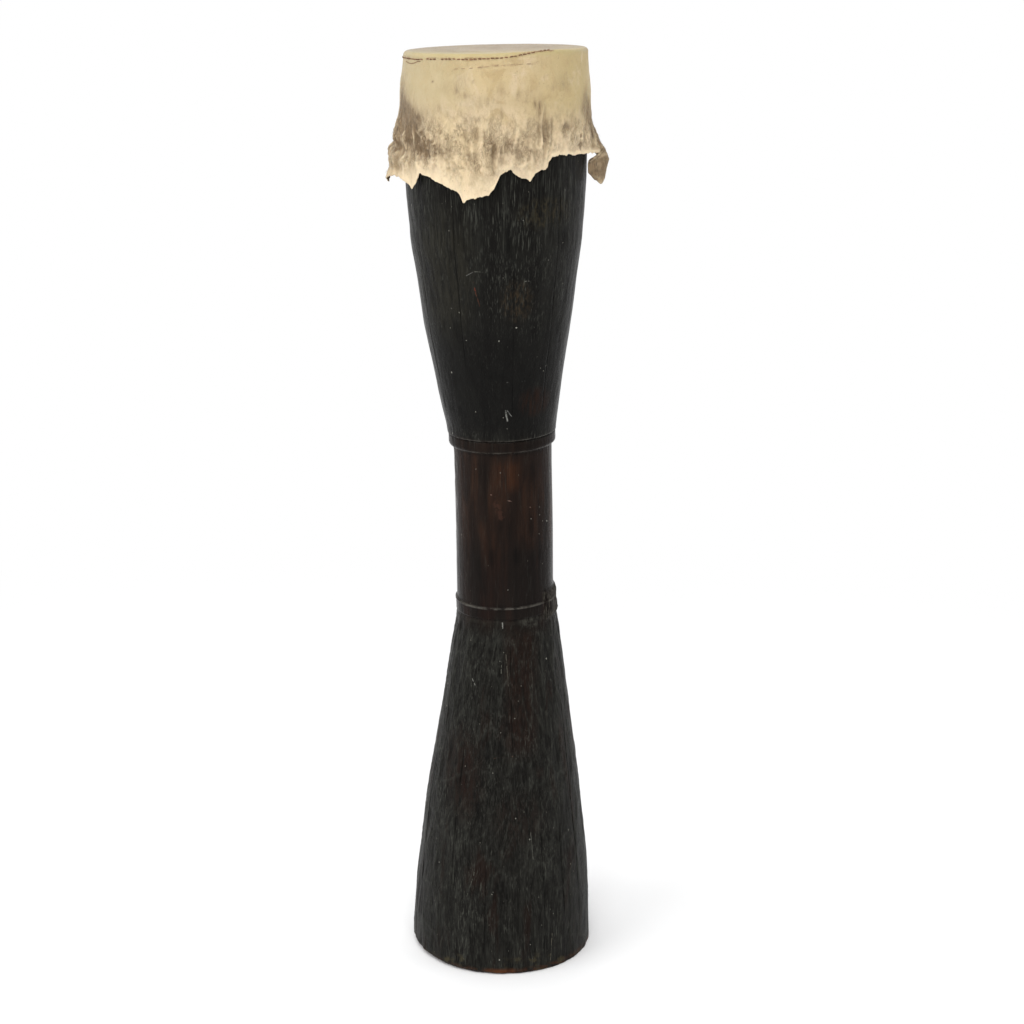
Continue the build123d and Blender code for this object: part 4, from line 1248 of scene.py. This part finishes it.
    # near the torn edge the flesh side is painted paler, to lift the shade it lies in
    inner = m.mix(m.attr("pale") * 0.7, inner, (0.660, 0.520, 0.345))
    m.paint(m.attr("flesh"), inner)
    rough = 0.50 + (fine - 0.5) * 0.30 + m.attr("flesh") * 0.25 + stain_and_shade * 0.10
    height = (fine * 1.0 + grain * 0.28 + streak * m.attr("low") * 0.9 + mid * 0.8 - dots * 0.25
              + grit * wrinkled * 0.9 - lines * 1.1)
    return m.finish(m.minimum(rough, 0.95), height, strength=0.70, distance=0.0012, specular=0.32,
                    Subsurface_Weight=0.10, Subsurface_Scale=0.004,
                    Subsurface_Radius=(1.0, 0.55, 0.3))


hide = hide_material()
hide_faces = [ring_faces(hide_rows, HIDE_COLUMNS),
              bridge((hide_rows - 1) * HIDE_COLUMNS, 0, HIDE_COLUMNS)]
collar = make_object("hide_collar", hide_grid, [f[:, ::-1] for f in hide_faces], hide,
                     hide_attrs, crisp=70)
mount(collar, replaced="hide_skirt")

# ------------------------------------------------------------------ the struck face, dished
SAG = 0.0021
HEAD_RINGS = 46
HEAD_THIN, HEAD_FULL = 0.00012, 0.0008  # thickness at the edge and further in
axis_x = float(lean(HEAD_AXIS_Z))
head_middle = np.array([axis_x, 0.0, head_z(axis_x, 0.0)])


def from_middle(points):
    reach = np.hypot(points[:, 0] - head_middle[0], points[:, 1] - head_middle[1])
    return reach / LAP_RADIUS


def head_mesh():
    """Vertices and faces of the disc, and the number of vertices in each of its two sides."""
    top, bottom = [], []
    for k in range(HEAD_RINGS + 1):
        t = 1 - k / (HEAD_RINGS + 0.6)  # 1 at the edge
        flat = head_middle[None] + (sheet[0] - head_middle[None]) * t
        reach = from_middle(flat)
        ripple = (0.00022 * fractal((flat[:, 0], flat[:, 1], 0.0), 26, octaves=3, seed=251)
                  * smooth(1.0, 0.85, reach))
        ring = flat + DOWN[None] * (SAG * (1 - reach**2.6) + ripple)[:, None]
        depth = HEAD_THIN + (HEAD_FULL - HEAD_THIN) * smooth(1.0, 0.93, reach)
        top.append(ring)
        bottom.append(ring + DOWN[None] * depth[:, None])
    centre = head_middle + DOWN * SAG
    verts = np.concatenate([np.array(top).reshape(-1, 3), centre[None],
                            np.array(bottom).reshape(-1, 3), (centre + DOWN * HEAD_FULL)[None]])
    half = len(verts) // 2
    rings = ring_faces(HEAD_RINGS + 1, HIDE_COLUMNS)
    c = np.arange(HIDE_COLUMNS)
    last = HEAD_RINGS * HIDE_COLUMNS
    following = last + (c + 1) % HIDE_COLUMNS
    centres = np.full(HIDE_COLUMNS, half - 1)
    top_fan = np.stack([last + c, following, centres], -1)
    bottom_fan = np.stack([half + following, half + last + c, half + centres], -1)
    wall = np.roll(bridge(half, 0, HIDE_COLUMNS), 1, axis=1)
    return verts, [rings, (rings + half)[:, ::-1], top_fan, bottom_fan, wall], half


head_verts, head_faces, half = head_mesh()
none = np.zeros(len(head_verts))
flesh = np.concatenate([np.zeros(half), np.ones(half)])
mottle = fractal((head_verts[:, 0], head_verts[:, 1], 0.0), 24, octaves=3, seed=252)
head_stain = 0.35 * np.clip(mottle + 0.1, 0, 1) * smooth(1.0, 0.8, from_middle(head_verts)) + 0.10
membrane = make_object(
    "head_membrane", head_verts, head_faces, hide,
    {"stain_and_shade": head_stain, "crease": none, "low": none, "ridge_highlight": none, "rust": none,
     "pale": none, "calm": none, "flesh": flesh, "top": 1 - flesh}, crisp=60)
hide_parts("drumhead")
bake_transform(membrane)


# ------------------------------------------------------------------ helpers for thread and pegs
def on_hide(at_angle, z, lift=0.0):
    """Point on the hide's outer face, moved out along its normal, and that normal."""
    i = int(np.argmin(np.abs(wrap(hide_angle - at_angle))))
    column = sheet[3:, i]
    k = int(np.argmin(np.abs(column[:, 2] - z)))
    k = min(max(k, 1), len(column) - 2)
    j = k + 1 if column[k, 2] > z else k - 1
    t = (z - column[k, 2]) / (column[j, 2] - column[k, 2] + 1e-12)
    t = min(max(t, 0.0), 1.0)
    # blend with the next column, so that a row of points runs smoothly round the rim
    off = float(wrap(at_angle - hide_angle[i]))
    beside = (i + (1 if off > 0 else -1)) % HIDE_COLUMNS
    gap = abs(float(wrap(hide_angle[beside] - hide_angle[i])))
    f = min(abs(off) / max(gap, 1e-6), 1.0)
    here = column[k] * (1 - t) + column[j] * t
    there = sheet[3 + k, beside] * (1 - t) + sheet[3 + j, beside] * t
    normal = hide_normal[3 + k, i]
    return here * (1 - f) + there * f + normal * lift, normal


def tube(points, radii, sides=6, closed_ends=True):
    """Vertices, quads and triangles of a tube through points."""
    points = np.asarray(points, float)
    n = len(points)
    radii = np.broadcast_to(radii, n)
    tangent = np.gradient(points, axis=0)
    tangent /= np.linalg.norm(tangent, axis=1, keepdims=True) + 1e-12
    guide = np.array([0.13, 0.41, 0.9])
    if abs(np.dot(guide, tangent[0])) > 0.9:
        guide = np.array([0.9, -0.2, 0.1])
    u = np.cross(tangent, guide)
    u /= np.linalg.norm(u, axis=1, keepdims=True) + 1e-12
    w = np.cross(tangent, u)
    turn = (np.arange(sides) * 2 * math.pi / sides)[None, :, None]
    ring = points[:, None] + radii[:, None, None] * (
        np.cos(turn) * u[:, None] + np.sin(turn) * w[:, None])
    verts = ring.reshape(-1, 3)
    triangles = np.zeros((0, 3), int)
    if closed_ends:
        verts = np.concatenate([verts, points[:1], points[-1:]])
        c = np.arange(sides)
        d = (c + 1) % sides
        end = (n - 1) * sides
        triangles = np.concatenate([
            np.stack([d, c, np.full(sides, n * sides)], -1),
            np.stack([end + c, end + d, np.full(sides, n * sides + 1)], -1)])
    return verts, ring_faces(n, sides), triangles


class Parts:
    """Gathers tubes into one object, with a shade for each."""

    def __init__(self):
        self.verts, self.quads, self.triangles, self.shades = [], [], [], []
        self.count = 0

    def add(self, made, shade):
        verts, quads, triangles = made
        self.verts.append(verts)
        self.quads.append(quads + self.count)
        self.triangles.append(triangles + self.count)
        self.shades.append(np.full(len(verts), shade))
        self.count += len(verts)

    def build(self, name, material):
        faces = [np.concatenate(self.quads), np.concatenate(self.triangles)]
        return make_object(name, np.concatenate(self.verts), faces, material,
                           {"shade": np.concatenate(self.shades)})


# ------------------------------------------------------------------ thread
def thread_material(name, dark, light):
    m = Shader(name)
    coarse = m.noise(1500)
    fine = m.noise(5200, detail=2.0)
    m.color = m.mix(m.rise(coarse, over=(0.34, 0.66)), dark, light)
    m.paint(m.attr("shade") * 0.6, tuple(v * 2.2 + 0.02 for v in light))
    return m.finish(0.62 + fine * 0.25, coarse + fine, strength=0.5, distance=0.0002, specular=0.2)


def stitch(parts, at_angle, length, row, jitter, bow, thread, turns, dip):
    """Two-ply thread along a row, bowed outward, with both ends pulled into the hide."""
    (start, start_normal), (end, end_normal) = [
        on_hide(a, table(row, a) / 1000 + j)
        for a, j in zip((at_angle, at_angle + length), jitter)]
    t = np.linspace(0, 1, 13)
    normal = (start_normal + end_normal) / 2
    normal /= np.linalg.norm(normal)
    core = start[None] * (1 - t)[:, None] + end[None] * t[:, None]
    rise = bow * np.sin(math.pi * t) ** 0.55 - dip * (np.abs(2 * t - 1) ** 6)
    core = core + normal[None] * rise[:, None]
    sideways = np.cross((end - start) / np.linalg.norm(end - start), normal)
    for ply in (0, math.pi):
        twist = (2 * math.pi * turns * t + ply)[:, None]
        path = core + thread * 0.75 * (np.cos(twist) * normal + np.sin(twist) * sideways)
        taper = thread * (0.72 + 0.28 * np.sin(math.pi * t) ** 0.4)
        parts.add(tube(path, taper), float(rng.uniform(0, 1)))


def frayed_end(parts, at_angle, z):
    root, normal = on_hide(at_angle, z, 0.0001)
    end = (root + normal * rng.uniform(0.0006, 0.0014)
           + np.array([rng.uniform(-1, 1), 0, rng.uniform(-1.4, 0.3)]) * 0.0011)
    middle = (root + end) / 2 + normal * 0.0004
    parts.add(tube([root - normal * 0.0002, middle, end], [0.00020, 0.00015, 0.00005], 5), 0.4)


upper = Parts()
at = -118.0
while at < 37.5:
    advance = (2.75 + rng.uniform(-0.25, 0.25) + (3.2 if rng.uniform() < 0.16 else 0)
               + (1.5 if at < -75 else 0))
    length = 1.95 + rng.uniform(-0.35, 0.35)
    stitch(upper, at, length, UPPER_ROW, jitter=rng.uniform(-0.0003, 0.0003, 2),
           bow=0.00040, thread=0.00036, turns=2.2, dip=0.00045)
    # every few stitches a frayed end stands up
    if rng.uniform() < 0.45:
        frayed_end(upper, at + length, table(UPPER_ROW, at + length) / 1000)
    at += advance
# a loose loop of thread towards the left end of the row
loose_loop = []
for t in np.linspace(0, 1, 30):
    loop_mm = 989.2 - 2.2 * math.sin(math.pi * min(t * 1.15, 1.0)) + 2.4 * t
    loose_loop.append(on_hide(-72 + 20 * t, loop_mm / 1000, 0.00028)[0])
upper.add(tube(loose_loop, 0.00026), 0.5)
dark_thread = thread_material("sinew_thread", dark=(0.055, 0.024, 0.012),
                              light=(0.160, 0.078, 0.042))
mount(upper.build("rim_stitches_twisted", dark_thread), replaced="rim_stitches")

faint = Parts()
for k in range(10):
    stitch(faint, -25.5 + k * 4.95, 2.6 + rng.uniform(-0.4, 0.4), FAINT_ROW, jitter=(0.0, 0.0),
           bow=0.00022, thread=0.00021, turns=2.4, dip=0.0003)
pale_thread = thread_material("sinew_faded", dark=(0.150, 0.100, 0.055),
                              light=(0.300, 0.215, 0.125))
mount(faint.build("lower_stitches_twisted", pale_thread), replaced="lower_stitches")


# ------------------------------------------------------------------ pegs: whittled stubs
def peg_material():
    m = Shader("whittled_peg")
    coarse = m.noise(700)
    fine = m.noise(2600, detail=2.0)
    m.color = m.mix(m.rise(coarse, over=(0.36, 0.64)),
                    (0.075, 0.045, 0.024), (0.220, 0.150, 0.085))
    m.paint(m.attr("shade") * 0.7, (0.330, 0.250, 0.155))
    return m.finish(0.6 + fine * 0.25, coarse + fine, strength=0.6, distance=0.0003, specular=0.2)


pegs = Parts()
for at in PEG_ANGLES:
    out = np.array([math.sin(math.radians(at)), -math.cos(math.radians(at)), 0.0])
    base = np.array([float(lean(PEG_HEIGHT)), 0.0, PEG_HEIGHT])
    at_hide = float(np.dot(on_hide(at, PEG_HEIGHT)[0] - base, out))
    inner_end = float(seat(PEG_HEIGHT)) - 0.0112
    # distance from the axis, radius in mm; cut off rough a little outside the hide
    stops = [(inner_end, 1.2), (inner_end + 0.003, 1.75), (at_hide - 0.003, 2.0),
             (at_hide - 0.0006, 2.05), (at_hide + 0.0004, 1.95), (at_hide + 0.0009, 1.6),
             (at_hide + 0.0011, 0.9)]
    skew = (np.array([-out[1], out[0], 0.0]) * rng.uniform(-0.0003, 0.0003)
            + np.array([0, 0, rng.uniform(-0.0003, 0.0003)]))
    verts, quads, triangles = tube(
        [base + out * reach + skew * (reach - inner_end) / 0.015 for reach, _ in stops],
        [stop_radius / 1000 for _, stop_radius in stops], 14)
    verts += 0.00012 * np.stack([noise(tuple(verts.T), 900, seed=301 + k) for k in range(3)], -1)
    pegs.add((verts, quads, triangles), np.clip((np.dot(verts - base, out) - at_hide) / 0.0009, 0, 1))
mount(pegs.build("hide_pegs_whittled", peg_material()), replaced="hide_pegs")

# ------------------------------------------------------------------ hair left on the skin
# short, lying down the skirt, thickest in the stained places
HAIRS = 950
FIRST_ROW = 45
hairs = Parts()
weights = stain_and_shade[FIRST_ROW:-6] + 0.12 * low[FIRST_ROW:-6]
for pick in rng.choice(weights.size, HAIRS, p=weights.ravel() / weights.sum()):
    row, column = divmod(int(pick), HIDE_COLUMNS)
    row += FIRST_ROW
    root, normal = sheet[row, column], hide_normal[row, column]
    length = rng.uniform(0.0018, 0.0052)
    turn = math.radians(hide_angle[column])
    sideways = np.array([math.cos(turn), math.sin(turn), 0.0])
    fall = np.array([0, 0, -1.0]) + sideways * rng.uniform(-0.45, 0.45)
    fall -= normal * np.dot(fall, normal)
    fall /= np.linalg.norm(fall)
    middle = root + fall * length * 0.5 + normal * length * rng.uniform(0.10, 0.22)
    end = (root + fall * length + normal * length * rng.uniform(0.05, 0.25)
           + sideways * rng.uniform(-0.0004, 0.0004))
    hairs.add(tube([root - normal * 0.00015, middle, end], [0.000085, 0.00007, 0.00002],
                   sides=3, closed_ends=False), float(rng.uniform(0, 1)))
stubble = thread_material("stubble", dark=(0.045, 0.026, 0.015), light=(0.200, 0.135, 0.075))
mount(hairs.build("hide_hair", stubble))


# ------------------------------------------------------------------ glue
# between hide and wood, seen only from inside or under a lifted edge
def glue_material():
    m = Shader("hide_glue_amber")
    coarse = m.noise(130, detail=4.0, distort=0.4)
    fine = m.noise(900, detail=2.0)
    m.color = m.mix(m.rise(coarse, over=(0.34, 0.68)),
                    (0.120, 0.060, 0.018), (0.330, 0.190, 0.070))
    return m.finish(0.25 + fine * 0.3, coarse + fine * 0.3, strength=0.4, distance=0.0006,
                    specular=0.5)


glue = NODES["glue_bed"]
glue.data.materials.clear()
glue.data.materials.append(glue_material())


# ------------------------------------------------------------------ studio floor
def floor_material():
    m = Shader("pale_sweep")
    broad = m.noise(9, rough=0.5)
    grain = m.noise(420, detail=2.0, rough=0.5)
    m.color = m.mix(broad, (0.93, 0.93, 0.932), (0.955, 0.955, 0.957))
    surface = m.surface(0.55 + grain * 0.15, grain, strength=0.05, distance=0.0002, specular=0.25)
    # away from the object the sweep is lit to plain white for the lens
    x, y, z = m.split(m.place)
    far = m.rise(m.math("SQRT", x * x + y * y), over=(0.45, 1.6))
    lens = m.make("ShaderNodeLightPath", output="Is Camera Ray")
    white = m.make("ShaderNodeEmission")
    return m.output(m.make("ShaderNodeMixShader", {0: far * lens, 1: surface, 2: white}))


FLOOR_Z = -0.0004
FLOOR_SIDES = 96
FLOOR_RADII = [0.3, 0.8, 2.0, 5.0, 12.0, 30.0, 80.0]
floor_verts = [(0.0, 0.0, FLOOR_Z)]
for ring_radius in FLOOR_RADII:
    for k in range(FLOOR_SIDES):
        turn = 2 * math.pi * k / FLOOR_SIDES
        floor_verts.append((ring_radius * math.cos(turn), ring_radius * math.sin(turn), FLOOR_Z))
floor_fan = np.array([(0, 1 + k, 1 + (k + 1) % FLOOR_SIDES) for k in range(FLOOR_SIDES)])
floor_quads = ring_faces(len(FLOOR_RADII), FLOOR_SIDES, first=1)[:, ::-1]
make_object("floor", floor_verts, [floor_fan, floor_quads], floor_material())

# ------------------------------------------------------------------ world, lights and camera
scene = bpy.context.scene
scene.view_settings.view_transform = "Standard"


def build_world():
    """A white room, brightest behind and to the left, plain white to the lens."""
    world = bpy.data.worlds.new("studio")
    scene.world = world
    world.use_nodes = True
    tree = world.node_tree
    sky = tree.nodes["Background"]
    sky.inputs["Color"].default_value = (1.0, 1.0, 1.0, 1.0)
    path = tree.nodes.new("ShaderNodeLightPath")
    coords = tree.nodes.new("ShaderNodeTexCoord")
    facing = tree.nodes.new("ShaderNodeVectorMath")
    facing.operation = "DOT_PRODUCT"
    facing.inputs[1].default_value = (-0.36, 0.93, 0.10)
    soft = tree.nodes.new("ShaderNodeMapRange")
    soft.interpolation_type = "SMOOTHSTEP"
    for key, value in (("From Min", -0.50), ("From Max", 0.90), ("To Min", 0.44), ("To Max", 1.14)):
        soft.inputs[key].default_value = value
    seen = tree.nodes.new("ShaderNodeMix")
    seen.inputs[3].default_value = 1.0
    for output, socket in (
            (coords.outputs["Generated"], facing.inputs[0]),
            (facing.outputs["Value"], soft.inputs[0]),
            (path.outputs["Is Camera Ray"], seen.inputs[0]),
            (soft.outputs[0], seen.inputs[2]),
            (seen.outputs[0], sky.inputs["Strength"])):
        tree.links.new(output, socket)


def area(name, place, target, width, depth, power):
    data = bpy.data.lights.new(name, "AREA")
    data.shape = "RECTANGLE"
    data.size = width
    data.size_y = depth
    data.energy = power
    light = bpy.data.objects.new(name, data)
    light.location = place
    aim = Vector(target) - Vector(place)
    light.rotation_euler = aim.to_track_quat("-Z", "Y").to_euler()
    scene.collection.objects.link(light)


build_world()
area("key_left", (-2.2, -1.3, 2.4), target=(0, 0, 0.6), width=2.2, depth=2.4, power=45.0)
area("fill_right", (2.3, -0.6, 1.6), target=(0, 0, 0.5), width=1.4, depth=1.8, power=12.0)
area("front", (0.1, -2.2, 3.3), target=(0, 0, 0.6), width=2.0, depth=2.0, power=58.0)

camera_data = bpy.data.cameras.new("camera")
camera = bpy.data.objects.new("camera", camera_data)
scene.collection.objects.link(camera)
camera.location = (0.0123, -2.388, 1.2023)
camera.rotation_euler = (math.radians(73.7), 0.0, 0.0)
camera_data.sensor_width = 36.0
camera_data.lens = 80.51
camera_data.clip_end = 200.0
scene.camera = camera
